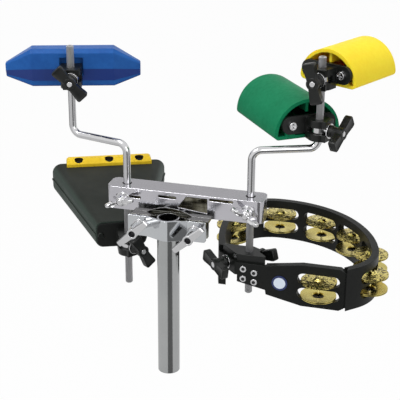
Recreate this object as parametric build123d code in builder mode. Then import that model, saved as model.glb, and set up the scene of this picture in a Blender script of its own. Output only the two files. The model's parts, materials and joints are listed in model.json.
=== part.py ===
# A multi-percussion rack: a stand tube carries a clamp with a cross bar, and two
# cranked rods in the bar carry three plastic blocks, a cowbell and a tambourine.
# Millimetres. The origin is the centre of the tube's foot, X runs along the bar,
# Y to the back and Z up the tube.

import os
from math import cos, radians, tan

from build123d import *

os.makedirs("parts", exist_ok=True)

# ---- driving dimensions ------------------------------------------------------

# clearances
running_gap = 0.06            # rod in a bore it turns in
loose_gap = 0.3               # pieces of different bodies that must not touch

# stand tube
tube_radius = 14.3
tube_wall = 2.0
tube_length = 219.0

# cranked rods, both the same part
rod_radius = 4.76
rod_crank_height = 195.0      # axis of the level stretch above the rod's lower end
rod_post = 117.0              # upper end above the level stretch's axis
rod_offset = 83.5
rod_left_drop, rod_left_turn = 142.0, 165.2      # lower end below the bar's top, and heading of the crank
rod_right_drop, rod_right_turn = 134.2, 22.5
rod_bend_radius = 12.0
rod_chamfer = 1.2
centre_drill_radius = 1.4
rod_thread = 1.5              # eye bolt's thread beyond its wing nut

# cross bar, a channel that is open below
bar_left = -87.0
bar_right = 118.0
bar_front = 15.0
bar_rear = 48.0
bar_rise = 27.5               # bar's top above the tube's end
bar_height = 30.0
bar_wall = 3.0
bar_corner = 8.0
bar_boss_radius = 11.0
bar_bore_chamfer = 1.4
rod_left_x = -64.7
rod_right_x = 98.7
rod_eye_drop = 15.5           # eye bolts of the rods below the bar's top

# tube clamp
jaw_half_width = 51.0
jaw_wing_gap = 5.0            # wing's inner face from the tube's axis
jaw_plate = 3.0
jaw_rise = 1.0                # jaw's top above the tube's end
jaw_height = 27.0
shelf_thickness = 3.0
clamp_bolt_x = 36.0
clamp_bolt_drop = 13.0        # bolt axes below the jaw's top
clamp_nut_reach = 38.0        # outer end of the long nuts from the tube's axis
clamp_thread_recess = 6.0
clamp_hub_radius = 6.5
clamp_bar_length = 50.0
clamp_bar_middle = 10.5       # width of the nut's bar at the hub
clamp_bar_end = 7.5
clamp_bar_thickness = 6.5
clamp_bar_turn = 42.0
clamp_bolt_head = 6.5
clamp_bolt_head_height = 5.0

# eye bolts and nuts, the same on every clamp
eye_outer_radius = 9.6
eye_thickness = 8.0
eye_clearance = 0.4
shank_radius = 3.95
washer_radius = 9.4
washer_thickness = 1.6
nut_gap = 0.3

# black clamp bodies and tee nuts of the instruments
clamp_radius = 13.5
clamp_height = 26.0
clamp_pad = 14.0              # flat that the washer bears on, from the rod's axis
clamp_pad_width = 20.0
clamp_web = 8.5               # web behind the eye, from the rod's axis
tee_hub_radius = 8.0
tee_reach = 35.5              # outer face of the tee from the rod's axis
tee_thickness = 10.0
tee_length = 50.0
tee_middle = 10.0             # width of the tee at the hub
tee_end = 12.5
screw_recess = 0.6            # bolt ends below the nuts' outer faces

# chrome wing nuts of the rods
wing_hub_radius = 7.5
wing_hub_length = 12.0
wing_span = 21.4
wing_tip_radius = 4.2
wing_thickness = 4.2
wing_rise = 5.7
wing_left_turn = -18.0
wing_right_turn = 30.0

# half-round blocks
half_wall = 4.5
half_corner = 6.0
half_mouth = 16.0             # mouth plane from the rod's axis
half_rib = 3.6
half_rib_depth = 15.0
half_rib_start = 4.0
half_plate_length = 73.0
half_plate_height = 23.0
half_plate_thickness = 4.5
half_bolt_spacing = 47.0
half_bolt_lift = 4.0          # bracket bolts above the eye bolt
half_bolt_radius = 3.0
half_bolt_head = 5.8
half_bolt_head_height = 4.0
half_bolt_length = 20.0
half_boss_radius = 6.5
half_bolt_cross = 1.5         # width and depth of the cross in the bolts' heads
green_radius = 44.5
green_lift = 5.0              # middle of the round above the underside
green_length = 122.0
green_shift = -8.1
green_base = -15.0            # underside from the eye bolt's height
yellow_radius = 41.5
yellow_lift = 2.2
yellow_length = 90.0
yellow_shift = -2.5
yellow_base = -12.0

# blue block
blue_half_middle = 53.0       # half length of the even middle stretch
blue_half_length = 87.5
blue_end_scale = 0.36
blue_shift = 1.5              # middle of the block from the rod
blue_edge = 2.0               # rounding of its edges
blue_recess_width = 30.0
blue_recess_height = 33.0
blue_recess_lift = 5.0
blue_recess_depth = 6.0
blue_slot_length = 124.0
blue_slot_height = 12.0
blue_slot_depth = 34.0

# cowbell
bell_start = 24.0             # closed end from the rod's axis
bell_length = 207.0
bell_shift = -7.5
bell_end_width = 68.0
bell_end_height = 36.5
bell_mouth_width = 168.0
bell_mouth_height = 47.0
bell_end_corner = 10.0
bell_mouth_corner = 14.0
bell_wall = 2.2
bell_seam = 2.6
bell_end_lift = 4.0           # middle of the closed end above the eye bolt
bell_mouth_lift = 7.0
ridge_length = 126.0
ridge_depth = 20.0
ridge_height = 9.5
ridge_lip = 3.5
ridge_draft = 0.5             # lean of its front face
ridge_screw_spacing = 45.0
ridge_cup_radius = 5.8
ridge_screw_radius = 4.2

# tambourine
ring_wall = 9.0
ring_skin = 4.0               # thin wall in front of the bracket
ring_rise = 10.0              # top edge above the eye bolt
ring_height = 57.0
slot_length = 54.0
slot_height = 15.5
slot_upper_drop = 19.0        # middles of the slots below the top edge
slot_lower_drop = 39.0
jingle_radius = 22.8
jingle_sheet = 0.8
jingle_cup_radius = 8.5
jingle_cup = 2.6
jingle_dish = 1.2
jingle_seat = 0.6             # gap under a pair at rest
jingle_spacing = 1.0
pin_radius = 1.4
pin_drop = 8.0                # pins' upper ends below the top edge
badge_radius = 10.0
badge_thickness = 1.2
badge_right = 44.0            # badge from the rod, and below the eye bolt
badge_drop = 18.4

# eye bolts below the upper ends or above the lower ends of the rods, the gap between
# the green block's clamp and the bend under it, and how each
# instrument, its nut's axis and the tee of the nut are turned
blue_drop, blue_turn, blue_tee_turn = 41.5, 18.3, -48.0
green_gap, green_turn, green_nut_turn, green_tee_turn = 0.2, 36.5, 33.5, 30.0
yellow_drop, yellow_turn, yellow_nut_turn, yellow_tee_turn = 26.3, -26.3, 16.3, -75.0
bell_lift, bell_turn, bell_nut_turn, bell_tee_turn = 56.5, 24.2, 30.0, -60.0
ring_lift, ring_nut_turn, ring_tee_turn, corner_tee_turn = 45.7, 150.0, -18.0, -10.0

# ---- values that follow ------------------------------------------------------

bar_top = tube_length + bar_rise
jaw_top = tube_length + jaw_rise
rod_y = (bar_front + bar_rear) / 2
bar_bottom = bar_top - bar_height
bar_middle = (bar_left + bar_right) / 2
bar_length = bar_right - bar_left
rod_bore = rod_radius + running_gap
eye_bore = rod_radius + eye_clearance
shank_hole = shank_radius + loose_gap
eye_slot = eye_thickness + 2 * loose_gap
rod_eye = bar_top - rod_eye_drop
clamp_bolt_z = jaw_top - clamp_bolt_drop

left_foot = bar_top - rod_left_drop
right_foot = bar_top - rod_right_drop
rod_height = rod_crank_height + rod_post
green_eye = right_foot + rod_crank_height + rod_bend_radius + green_gap + clamp_height / 2
left_rod = Location((rod_left_x, rod_y, left_foot), (0, 0, rod_left_turn))
right_rod = Location((rod_right_x, rod_y, right_foot), (0, 0, rod_right_turn))
ring_eye = right_foot + ring_lift


def rod_top_end(rod):
    """Plan position of a cranked rod's upper stretch."""
    crank = rod * Location((rod_offset, 0, 0))
    return crank.position.X, crank.position.Y


left_x, left_y = rod_top_end(left_rod)
right_x, right_y = rod_top_end(right_rod)
blue_frame = Location((left_x, left_y, left_foot + rod_height - blue_drop), (0, 0, blue_turn))
green_frame = Location((right_x, right_y, green_eye), (0, 0, green_turn))
yellow_frame = Location((right_x, right_y, right_foot + rod_height - yellow_drop), (0, 0, yellow_turn))
bell_frame = Location((rod_left_x, rod_y, left_foot + bell_lift), (0, 0, bell_turn))
ring_frame = Location((rod_right_x, rod_y, ring_eye))


def save(piece, name, frame=Location()):
    """Label a finished piece, put it in its place and write it."""
    placed = piece.part.moved(frame)
    placed.label = name
    export_step(placed, f"parts/{name}.step")


def turned(frame, turn):
    """The same place, turned about the rod."""
    return frame * Location((0, 0, 0), (0, 0, turn))


# ---- stand tube --------------------------------------------------------------

with BuildPart() as stand_tube:
    with BuildSketch():
        Circle(tube_radius)
        Circle(tube_radius - tube_wall, mode=Mode.SUBTRACT)
    extrude(amount=tube_length)
save(stand_tube, "stand_tube")

# ---- cranked rods ------------------------------------------------------------

with BuildPart() as cranked_rod:
    with BuildLine() as rod_path:
        FilletPolyline(
            (0, 0, 0),
            (0, 0, rod_crank_height),
            (rod_offset, 0, rod_crank_height),
            (rod_offset, 0, rod_height),
            radius=rod_bend_radius,
        )
    with BuildSketch():
        Circle(rod_radius)
    sweep()
    ends = cranked_rod.edges().filter_by(GeomType.CIRCLE).group_by(Axis.Z)
    chamfer(ends[0] + ends[-1], rod_chamfer)
    with Locations((rod_offset, 0, rod_height)):
        Cone(0.05, centre_drill_radius, centre_drill_radius, align=(Align.CENTER, Align.CENTER, Align.MAX),
             mode=Mode.SUBTRACT)
save(cranked_rod, "rod_left", left_rod)
save(cranked_rod, "rod_right", right_rod)

# ---- cross bar ---------------------------------------------------------------

bar_inner_front = bar_front + bar_wall
arch_middle, arch_half, arch_rise = -3.0, 30.0, 8.5      # relief over the tube
window_left, window_right, window_lean = 8.0, 46.5, 11.0
window_top = bar_top - 3.5
window_bottom = bar_bottom + arch_rise + 2.5
slot_bands = ((-74.0, -41.0, 11.5), (-18.0, 6.0, 7.0), (49.0, 80.0, 4.5))   # left, right, drop
slot_band_height = 3.6
bar_bore_rim = rod_bore + bar_bore_chamfer

with BuildPart() as rack_bar:
    with BuildSketch(Plane.XY.offset(bar_bottom)):
        with Locations((bar_middle, rod_y)):
            RectangleRounded(bar_length, bar_rear - bar_front, bar_corner)
    extrude(amount=bar_height)
    with BuildSketch(Plane.XY.offset(bar_bottom)):
        with Locations((bar_middle, rod_y)):
            RectangleRounded(bar_length - 2 * bar_wall, bar_rear - bar_front - 2 * bar_wall,
                             bar_corner - bar_wall)
    extrude(amount=bar_height - bar_wall, mode=Mode.SUBTRACT)
    # bosses that guide the rods, slotted for their eye bolts
    with BuildSketch(Plane.XY.offset(bar_bottom)):
        with Locations((rod_left_x, rod_y), (rod_right_x, rod_y)):
            Circle(bar_boss_radius)
            Rectangle(2 * bar_boss_radius, bar_rear - bar_front - bar_wall)
    extrude(amount=bar_height - bar_wall)
    with BuildSketch(Plane.XY.offset(rod_eye - eye_slot / 2)):
        with Locations((rod_left_x, rod_y), (rod_right_x, rod_y)):
            Rectangle(2 * bar_boss_radius + 1, 2 * (rod_y - bar_inner_front))
    extrude(amount=eye_slot, mode=Mode.SUBTRACT)
    with BuildSketch(Plane.XY.offset(bar_bottom)):
        with Locations((rod_left_x, rod_y), (rod_right_x, rod_y)):
            Circle(rod_bore)
    extrude(amount=bar_height, mode=Mode.SUBTRACT)
    with BuildSketch(Plane.XZ.offset(-bar_inner_front)):
        with Locations((rod_left_x, rod_eye), (rod_right_x, rod_eye)):
            Circle(shank_hole)
    extrude(amount=bar_wall, mode=Mode.SUBTRACT)
    # arch, window and slots of the front face
    with BuildSketch(Plane.XZ.offset(-bar_inner_front)):
        with BuildLine():
            arch = ThreePointArc(
                (arch_middle - arch_half, bar_bottom),
                (arch_middle, bar_bottom + arch_rise),
                (arch_middle + arch_half, bar_bottom),
            )
            Line(arch @ 1, arch @ 0)
        make_face()
    extrude(amount=bar_wall, mode=Mode.SUBTRACT)
    with BuildSketch(Plane.XZ.offset(-bar_inner_front)):
        Polygon(
            (window_left, window_bottom),
            (window_right, window_bottom - arch_rise / 2),
            (window_right, window_top),
            (window_left + window_lean, window_top),
            align=None,
        )
        for left, right, drop in slot_bands:
            with Locations(((left + right) / 2, bar_top - drop)):
                SlotOverall(right - left, slot_band_height)
    extrude(amount=bar_wall, mode=Mode.SUBTRACT)
    rims = rack_bar.faces().sort_by(Axis.Z)[-1].edges().filter_by(GeomType.CIRCLE)
    chamfer(rims.filter_by(lambda edge: edge.radius < bar_bore_rim), bar_bore_chamfer)
save(rack_bar, "rack_bar")

# ---- tube clamp --------------------------------------------------------------

vee_angle = 22.5
tube_seat = tube_radius + loose_gap
vee_depth = tube_seat / cos(radians(vee_angle))
jaw_wing_inner = (vee_depth - jaw_wing_gap) / tan(radians(vee_angle))
jaw_bottom = jaw_top - jaw_height
vee_points = (
    (-jaw_half_width, -jaw_wing_gap),
    (-jaw_wing_inner, -jaw_wing_gap),
    (0, -vee_depth),
    (jaw_wing_inner, -jaw_wing_gap),
    (jaw_half_width, -jaw_wing_gap),
)


def vee_plate(bottom, height):
    """A plate bent round the tube between two flat wings, with two bolt holes."""
    with BuildPart() as plate:
        with BuildSketch(Plane.XY.offset(bottom)) as plan:
            with BuildLine():
                inner = Polyline(*vee_points)
                offset(inner, amount=jaw_plate, side=Side.RIGHT, kind=Kind.INTERSECTION)
            make_face()
            for end, radius in ((0, tube_seat + jaw_plate), (-1, tube_seat)):
                bends = plan.vertices().filter_by(lambda corner: abs(corner.X) < jaw_plate).sort_by(Axis.Y)
                fillet(bends[end], radius)
        extrude(amount=height)
        fillet(plate.edges().filter_by(Axis.Y).group_by(Axis.Z)[0], jaw_plate)
        with BuildSketch(Plane.XZ.offset(jaw_wing_gap - 1)):
            with Locations((-clamp_bolt_x, clamp_bolt_z), (clamp_bolt_x, clamp_bolt_z)):
                Circle(shank_hole)
        extrude(amount=jaw_plate + 2, mode=Mode.SUBTRACT)
    return plate


clamp_jaw = vee_plate(jaw_bottom, jaw_height)
save(clamp_jaw, "clamp_jaw")

saddle_height = bar_bottom - jaw_bottom
rear_vee = vee_plate(jaw_bottom, saddle_height)
half_turn = Location((0, 0, 0), (0, 0, 180))
with BuildPart() as clamp_saddle:
    add(rear_vee.part.moved(half_turn))
    with BuildSketch(Plane.XY.offset(bar_bottom - shelf_thickness)) as shelf:
        with Locations((0, (jaw_wing_gap + bar_inner_front + bar_boss_radius) / 2)):
            Rectangle(2 * jaw_half_width, bar_inner_front + bar_boss_radius - jaw_wing_gap)
        Polygon((-jaw_wing_inner, jaw_wing_gap), (0, vee_depth), (jaw_wing_inner, jaw_wing_gap),
                align=None, mode=Mode.SUBTRACT)
    extrude(amount=shelf_thickness)
save(clamp_saddle, "clamp_saddle")

with BuildPart() as clamp_bolts:
    with BuildSketch(Plane.XZ.offset(-jaw_wing_gap - jaw_plate)):
        with Locations((-clamp_bolt_x, clamp_bolt_z), (clamp_bolt_x, clamp_bolt_z)):
            RegularPolygon(clamp_bolt_head, 6)
    extrude(amount=-clamp_bolt_head_height)
    with BuildSketch(Plane.XZ.offset(-jaw_wing_gap - jaw_plate)):
        with Locations((-clamp_bolt_x, clamp_bolt_z), (clamp_bolt_x, clamp_bolt_z)):
            Circle(shank_radius)
    extrude(amount=jaw_wing_gap + jaw_plate + clamp_nut_reach - clamp_thread_recess)
save(clamp_bolts, "clamp_bolts")

jaw_face = jaw_wing_gap + jaw_plate
with BuildPart() as clamp_washers:
    with BuildSketch(Plane.XZ.offset(jaw_face)):
        with Locations((-clamp_bolt_x, clamp_bolt_z), (clamp_bolt_x, clamp_bolt_z)):
            Circle(washer_radius - 1)
            Circle(shank_hole, mode=Mode.SUBTRACT)
    extrude(amount=washer_thickness)
save(clamp_washers, "clamp_washers")


def bar_nut(start, reach, hub_radius, length, middle, end, thickness, turn):
    """A nut with a long hub along -Y and a flat bar across its outer end.
    The bar's width goes from middle at the hub to end at its tips."""
    with BuildSketch() as bar:
        Polygon(
            (-length / 2, -end / 2), (0, -middle / 2), (length / 2, -end / 2),
            (length / 2, end / 2), (0, middle / 2), (-length / 2, end / 2),
            align=None,
        )
        fillet(bar.vertices().filter_by(lambda corner: abs(corner.X) > middle), end / 4)
    with BuildPart() as nut:
        with BuildSketch(Plane.XZ.offset(reach - thickness)):
            add(bar.sketch.rotate(Axis.Z, turn))
        extrude(amount=thickness)
        for face in (nut.faces().sort_by(Axis.Y)[0], nut.faces().sort_by(Axis.Y)[-1]):
            chamfer(face.edges(), thickness / 5)
        with BuildSketch(Plane.XZ.offset(start)):
            Circle(hub_radius)
        extrude(amount=reach - start)
        with BuildSketch(Plane.XZ.offset(start)):
            Circle(shank_hole)
        extrude(amount=reach - start, mode=Mode.SUBTRACT)
    return nut


clamp_nut = bar_nut(jaw_face + washer_thickness + nut_gap, clamp_nut_reach, clamp_hub_radius,
                    clamp_bar_length, clamp_bar_middle, clamp_bar_end, clamp_bar_thickness, clamp_bar_turn)
save(clamp_nut, "clamp_nut_left", Location((-clamp_bolt_x, 0, clamp_bolt_z)))
save(clamp_nut, "clamp_nut_right", Location((clamp_bolt_x, 0, clamp_bolt_z)))

# ---- eye bolts, washers and nuts ---------------------------------------------


def eye_bolt(reach):
    """An eye round the rod at the origin, and its shank along -Y."""
    with BuildPart() as bolt:
        with BuildSketch(Plane.XY.offset(-eye_thickness / 2)):
            Circle(eye_outer_radius)
        extrude(amount=eye_thickness)
        with BuildSketch(Plane.XZ):
            Circle(shank_radius)
        extrude(amount=reach)
        tip = bolt.edges().filter_by(GeomType.CIRCLE).sort_by(Axis.Y)[0]
        chamfer(tip, shank_radius / 5)
        with BuildSketch(Plane.XY.offset(-eye_thickness / 2)):
            Circle(eye_bore)
        extrude(amount=eye_thickness, mode=Mode.SUBTRACT)
    return bolt


def washer(start):
    """A flat washer on the shank, its inner face at the given distance."""
    with BuildPart() as ring:
        with BuildSketch(Plane.XZ.offset(start)):
            Circle(washer_radius)
            Circle(shank_hole, mode=Mode.SUBTRACT)
        extrude(amount=washer_thickness)
    return ring


def wing_nut(start):
    """A cast wing nut: a tapered hub along -Y with two raised ears."""
    hub_end = start + wing_hub_length
    with BuildPart() as nut:
        with BuildSketch(Plane.XZ.offset(start)):
            Circle(wing_hub_radius)
        extrude(amount=wing_hub_length, taper=6)
        for side in (-1, 1):
            with BuildSketch(Plane.XY.offset(-wing_thickness / 2)):
                with Locations((side * 0.5 * wing_hub_radius, -start - 0.45 * wing_hub_length)):
                    Circle(0.4 * wing_hub_length)
                with Locations((side * wing_span, -hub_end - wing_rise + wing_tip_radius)):
                    Circle(wing_tip_radius)
                make_hull()
            extrude(amount=wing_thickness)
        with BuildSketch(Plane.XZ.offset(start)):
            Circle(shank_hole)
        extrude(amount=wing_hub_length + wing_rise, mode=Mode.SUBTRACT)
    return nut


rod_washer_start = rod_y - bar_front
rod_nut_start = rod_washer_start + washer_thickness + nut_gap
rod_eye_bolt = eye_bolt(rod_nut_start + wing_hub_length + rod_thread)
rod_washer = washer(rod_washer_start)
rod_nut = wing_nut(rod_nut_start)
for side, x, turn in (("left", rod_left_x, wing_left_turn), ("right", rod_right_x, wing_right_turn)):
    place = Location((x, rod_y, rod_eye))
    save(rod_eye_bolt, f"rod_eye_bolt_{side}", place)
    save(rod_washer, f"rod_washer_{side}", place)
    save(rod_nut, f"rod_wing_nut_{side}", place * Location((0, 0, 0), (0, turn, 0)))

# ---- clamp bodies of the instruments -----------------------------------------

tee_start = clamp_pad + washer_thickness + nut_gap
tee_eye_bolt = eye_bolt(tee_reach - screw_recess)
tee_washer = washer(clamp_pad)


def tee_nut(turn):
    """The black nut of an instrument clamp."""
    return bar_nut(tee_start, tee_reach, tee_hub_radius, tee_length, tee_middle, tee_end,
                   tee_thickness, turn)


def clamp_solid(nut_turn):
    """Adds the drum round the rod with its flat for the washer, open at the front for the eye."""
    with BuildSketch(Plane.XY.offset(-clamp_height / 2)) as drum:
        Circle(clamp_radius)
        with Locations(Location((0, 0, 0), (0, 0, nut_turn))):
            Rectangle(clamp_pad_width, clamp_pad, align=(Align.CENTER, Align.MAX))
    extrude(drum.sketch, amount=clamp_height)


def clamp_cuts():
    """Cuts the slot for the eye and the bore for the rod."""
    with BuildSketch(Plane.XY.offset(-eye_slot / 2)) as slot:
        with Locations((0, clamp_web)):
            Rectangle(4 * clamp_radius, 2 * clamp_radius + clamp_web, align=(Align.CENTER, Align.MAX))
        Circle(eye_outer_radius + loose_gap)
    extrude(slot.sketch, amount=eye_slot, mode=Mode.SUBTRACT)
    with BuildSketch(Plane.XY.offset(-clamp_height / 2)) as bore:
        Circle(rod_bore)
    extrude(bore.sketch, amount=clamp_height, mode=Mode.SUBTRACT)


def save_clamp(prefix, frame, nut_turn, tee_turn):
    """The eye bolt, washer and tee nut of one instrument."""
    place = turned(frame, nut_turn)
    save(tee_eye_bolt, f"{prefix}_eye_bolt", place)
    save(tee_washer, f"{prefix}_washer", place)
    save(tee_nut(tee_turn), f"{prefix}_tee_nut", place)


# ---- blue block --------------------------------------------------------------

blue_face = 14.0              # mount face from the rod's axis
blue_section = (              # depth behind the rod, height above the eye bolt
    (38.2, 32.3), (18.9, 32.3), (blue_face, 27.4), (blue_face, 6.6), (24.0, -11.4),
    (24.0, -19.0), (56.0, -19.0), (62.0, -8.0), (62.0, 14.0),
)
blue_core = (34.0, 0.0)       # the ends shrink towards this line
blue_end_section = [
    (blue_core[0] + (y - blue_core[0]) * blue_end_scale, blue_core[1] + (z - blue_core[1]) * blue_end_scale)
    for y, z in blue_section
]
blue_floor = blue_face + blue_recess_depth

with BuildPart() as blue_shell:
    with BuildSketch(Plane.YZ.offset(blue_shift - blue_half_middle)):
        Polygon(*blue_section, align=None)
    extrude(amount=2 * blue_half_middle)
    for side in (-1, 1):
        with BuildSketch(Plane.YZ.offset(blue_shift + side * blue_half_middle)):
            Polygon(*blue_section, align=None)
        with BuildSketch(Plane.YZ.offset(blue_shift + side * blue_half_length)):
            Polygon(*blue_end_section, align=None)
        loft()
    fillet(blue_shell.edges(), blue_edge)
    with BuildSketch(Plane.XZ.offset(-blue_floor)):
        with Locations((0, blue_recess_lift)):
            Rectangle(blue_recess_width, blue_recess_height)
    extrude(amount=blue_floor, mode=Mode.SUBTRACT)
    with BuildSketch(Plane.XZ.offset(-blue_section[7][0])):
        with Locations((blue_shift, 0)):
            RectangleRounded(blue_slot_length, blue_slot_height, blue_slot_height / 3)
    extrude(amount=blue_slot_depth, mode=Mode.SUBTRACT)
save(blue_shell, "blue_block_shell", blue_frame)

with BuildPart() as blue_bracket:
    clamp_solid(0)
    with BuildSketch(Plane.XY.offset(-clamp_height / 2)):
        Rectangle(2 * clamp_radius, blue_floor, align=(Align.CENTER, Align.MIN))
    extrude(amount=clamp_height)
    clamp_cuts()
save(blue_bracket, "blue_block_bracket", blue_frame)
save_clamp("blue_block", blue_frame, 0, blue_tee_turn)

# ---- half-round blocks -------------------------------------------------------


def half_profile(radius, lift, inset):
    """Adds the section of a half-round block, or its inside at the given inset."""
    with Locations((0, lift)):
        Circle(radius - inset)
        Rectangle(2 * (radius - inset), lift + radius, align=(Align.CENTER, Align.MAX))
    with Locations((0, inset)):
        Rectangle(2 * radius, 2 * radius, align=(Align.CENTER, Align.MAX), mode=Mode.SUBTRACT)


def half_block(name, frame, radius, lift, length, shift, base, nut_turn, tee_turn):
    """One block and its bracket; base is its underside from the eye bolt's height."""
    middle = Plane((shift, half_mouth, base), x_dir=(1, 0, 0), z_dir=(0, -1, 0))
    bolts = [(shift + side * half_bolt_spacing / 2, half_bolt_lift) for side in (-1, 1)]
    with BuildPart() as shell:
        with BuildSketch(middle):
            half_profile(radius, lift, 0)
        extrude(amount=-length)
        fillet(shell.edges().filter_by(Axis.Y).group_by(Axis.Z)[0], half_corner)
        fillet(shell.faces().sort_by(Axis.Y)[-1].edges(), half_wall / 2)
        with BuildSketch(middle):
            half_profile(radius, lift, half_wall)
        extrude(amount=half_wall - length, mode=Mode.SUBTRACT)
        # rib under the crown, and two bosses on webs that take the bracket's bolts
        with BuildSketch(middle.offset(-half_rib_start)):
            with Locations((0, lift + radius - half_wall / 2)):
                Rectangle(half_rib, half_rib_depth, align=(Align.CENTER, Align.MAX))
        extrude(amount=half_rib_start + half_wall / 2 - length)
        with BuildSketch(Plane.XZ.offset(-half_mouth)):
            with Locations(*bolts):
                Circle(half_boss_radius)
                Rectangle(2 * half_boss_radius, half_bolt_lift - base - half_wall / 2,
                          align=(Align.CENTER, Align.MAX))
        extrude(amount=-half_bolt_length)
        with BuildSketch(Plane.XZ.offset(-half_mouth)):
            with Locations(*bolts):
                Circle(half_bolt_radius)
        extrude(amount=-half_bolt_length, mode=Mode.SUBTRACT)
    save(shell, f"{name}_shell", frame)

    plate_front = half_mouth - half_plate_thickness
    with BuildPart() as bracket:
        clamp_solid(nut_turn)
        with BuildSketch(Plane.XZ.offset(-half_mouth)):
            with Locations((shift, half_bolt_lift)):
                SlotOverall(half_plate_length, half_plate_height)
        extrude(amount=half_plate_thickness)
        with BuildSketch(Plane.XY.offset(-clamp_height / 2)):
            Rectangle(2 * clamp_radius, plate_front, align=(Align.CENTER, Align.MIN))
        extrude(amount=clamp_height)
        clamp_cuts()
        with BuildSketch(Plane.XZ.offset(-half_mouth)):
            with Locations(*bolts):
                Circle(half_bolt_radius)
        extrude(amount=half_plate_thickness, mode=Mode.SUBTRACT)
        with BuildSketch(Plane.XZ.offset(-plate_front)):
            with Locations(*bolts):
                Circle(half_bolt_head + loose_gap)
        extrude(amount=clamp_radius, mode=Mode.SUBTRACT)
    save(bracket, f"{name}_bracket", frame)

    with BuildPart() as bracket_bolts:
        with BuildSketch(Plane.XZ.offset(-plate_front)):
            with Locations(*bolts):
                Circle(half_bolt_head)
        extrude(amount=half_bolt_head_height, taper=12)
        with BuildSketch(Plane.XZ.offset(-plate_front)):
            with Locations(*bolts):
                Circle(half_bolt_radius)
        extrude(amount=-half_plate_thickness - half_bolt_length + 1)
        with BuildSketch(Plane.XZ.offset(half_bolt_head_height - plate_front)):
            with Locations(*bolts):
                Rectangle(1.3 * half_bolt_head, half_bolt_cross)
                Rectangle(half_bolt_cross, 1.3 * half_bolt_head)
        extrude(amount=-half_bolt_cross, mode=Mode.SUBTRACT)
    save(bracket_bolts, f"{name}_bolts", frame)
    save_clamp(name, frame, nut_turn, tee_turn)


half_block("green_block", green_frame, green_radius, green_lift, green_length, green_shift,
           green_base, green_nut_turn, green_tee_turn)
half_block("yellow_block", yellow_frame, yellow_radius, yellow_lift, yellow_length, yellow_shift,
           yellow_base, yellow_nut_turn, yellow_tee_turn)

# ---- cowbell -----------------------------------------------------------------

bell_end_plane = Plane.XZ.offset(-bell_start)
bell_mouth_plane = Plane.XZ.offset(-bell_start - bell_length)
bell_rise = (bell_mouth_lift + bell_mouth_height / 2 - bell_end_lift - bell_end_height / 2) / bell_length


def bell_top(distance):
    """Height of the bell's top face at a distance behind the rod."""
    return bell_end_lift + bell_end_height / 2 + (distance - bell_start) * bell_rise


def bell_loft(inset, mode):
    """The bell's outer or inner form."""
    with BuildSketch(bell_end_plane.offset(-inset)) as end:
        with Locations((bell_shift, bell_end_lift)):
            RectangleRounded(bell_end_width - 2 * inset, bell_end_height - 2 * inset, bell_end_corner - inset)
    with BuildSketch(bell_mouth_plane) as mouth:
        with Locations((bell_shift, bell_mouth_lift)):
            RectangleRounded(bell_mouth_width - 2 * inset, bell_mouth_height - 2 * inset,
                             bell_mouth_corner - inset)
    loft([end.sketch, mouth.sketch], mode=mode)


bell_mouth_y = bell_start + bell_length
ridge_front = bell_mouth_y - ridge_depth + ridge_lip
ridge_holes = [(bell_shift + i * ridge_screw_spacing, ridge_front + ridge_depth / 2 - 1) for i in (-1, 0, 1)]
ridge_screw_length = 2 * ridge_height
ridge_screw_seat = bell_top(ridge_front) + ridge_height / 3
bell_plate = 3.0
bell_rivets_at = [(bell_shift + side * 0.4 * bell_end_width, bell_end_lift) for side in (-1, 1)]
bell_rivet_radius, bell_rivet_head, bell_rivet_rise = 2.5, 4.4, 2.0

with BuildPart() as bell_shell:
    bell_loft(0, Mode.ADD)
    with BuildSketch(bell_end_plane):
        with Locations((bell_shift, bell_end_lift)):
            Rectangle(bell_end_width + bell_seam, bell_seam)
    with BuildSketch(bell_mouth_plane):
        with Locations((bell_shift, bell_mouth_lift)):
            Rectangle(bell_mouth_width + bell_seam, bell_seam)
    loft()
    bell_loft(bell_wall, Mode.SUBTRACT)
    with BuildSketch(Plane.XY.offset(ridge_screw_seat - ridge_screw_length)):
        with Locations(*ridge_holes):
            Circle(ridge_screw_radius / 2)
    extrude(amount=ridge_screw_length, mode=Mode.SUBTRACT)
    with BuildSketch(bell_end_plane):
        with Locations(*bell_rivets_at):
            Circle(bell_rivet_radius)
    extrude(amount=-bell_wall, mode=Mode.SUBTRACT)
save(bell_shell, "cowbell_shell", bell_frame)

with BuildPart() as bell_ridge:
    with BuildSketch(Plane.YZ.offset(bell_shift - ridge_length / 2)):
        Polygon(
            (ridge_front, bell_top(ridge_front)),
            (ridge_front + ridge_draft, bell_top(ridge_front) + 0.45 * ridge_height),
            (ridge_front + 0.55 * ridge_depth, bell_top(ridge_front) + ridge_height),
            (ridge_front + ridge_depth, bell_top(ridge_front) + ridge_height),
            (ridge_front + ridge_depth, bell_top(ridge_front) - ridge_height / 2),
            (bell_mouth_y, bell_top(ridge_front) - ridge_height / 2),
            (bell_mouth_y, bell_top(bell_mouth_y)),
            align=None,
        )
    extrude(amount=ridge_length)
    ends = bell_ridge.edges().filter_by(Axis.Y).group_by(Axis.Z)[-1]
    fillet(ends, ridge_height / 2)
    with BuildSketch(Plane.XY.offset(ridge_screw_seat)):
        with Locations(*ridge_holes):
            Circle(ridge_cup_radius)
    extrude(amount=ridge_height, mode=Mode.SUBTRACT)
    with BuildSketch(Plane.XY.offset(ridge_screw_seat - ridge_height)):
        with Locations(*ridge_holes):
            Circle(ridge_screw_radius / 2)
    extrude(amount=ridge_height, mode=Mode.SUBTRACT)
save(bell_ridge, "cowbell_ridge", bell_frame)

with BuildPart() as ridge_screws:
    with BuildSketch(Plane.XY.offset(ridge_screw_seat)):
        with Locations(*ridge_holes):
            Circle(ridge_screw_radius)
    extrude(amount=ridge_height / 4)
    with BuildSketch(Plane.XY.offset(ridge_screw_seat)):
        with Locations(*ridge_holes):
            Circle(ridge_screw_radius / 2)
    extrude(amount=-ridge_height)
save(ridge_screws, "cowbell_ridge_screws", bell_frame)

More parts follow.
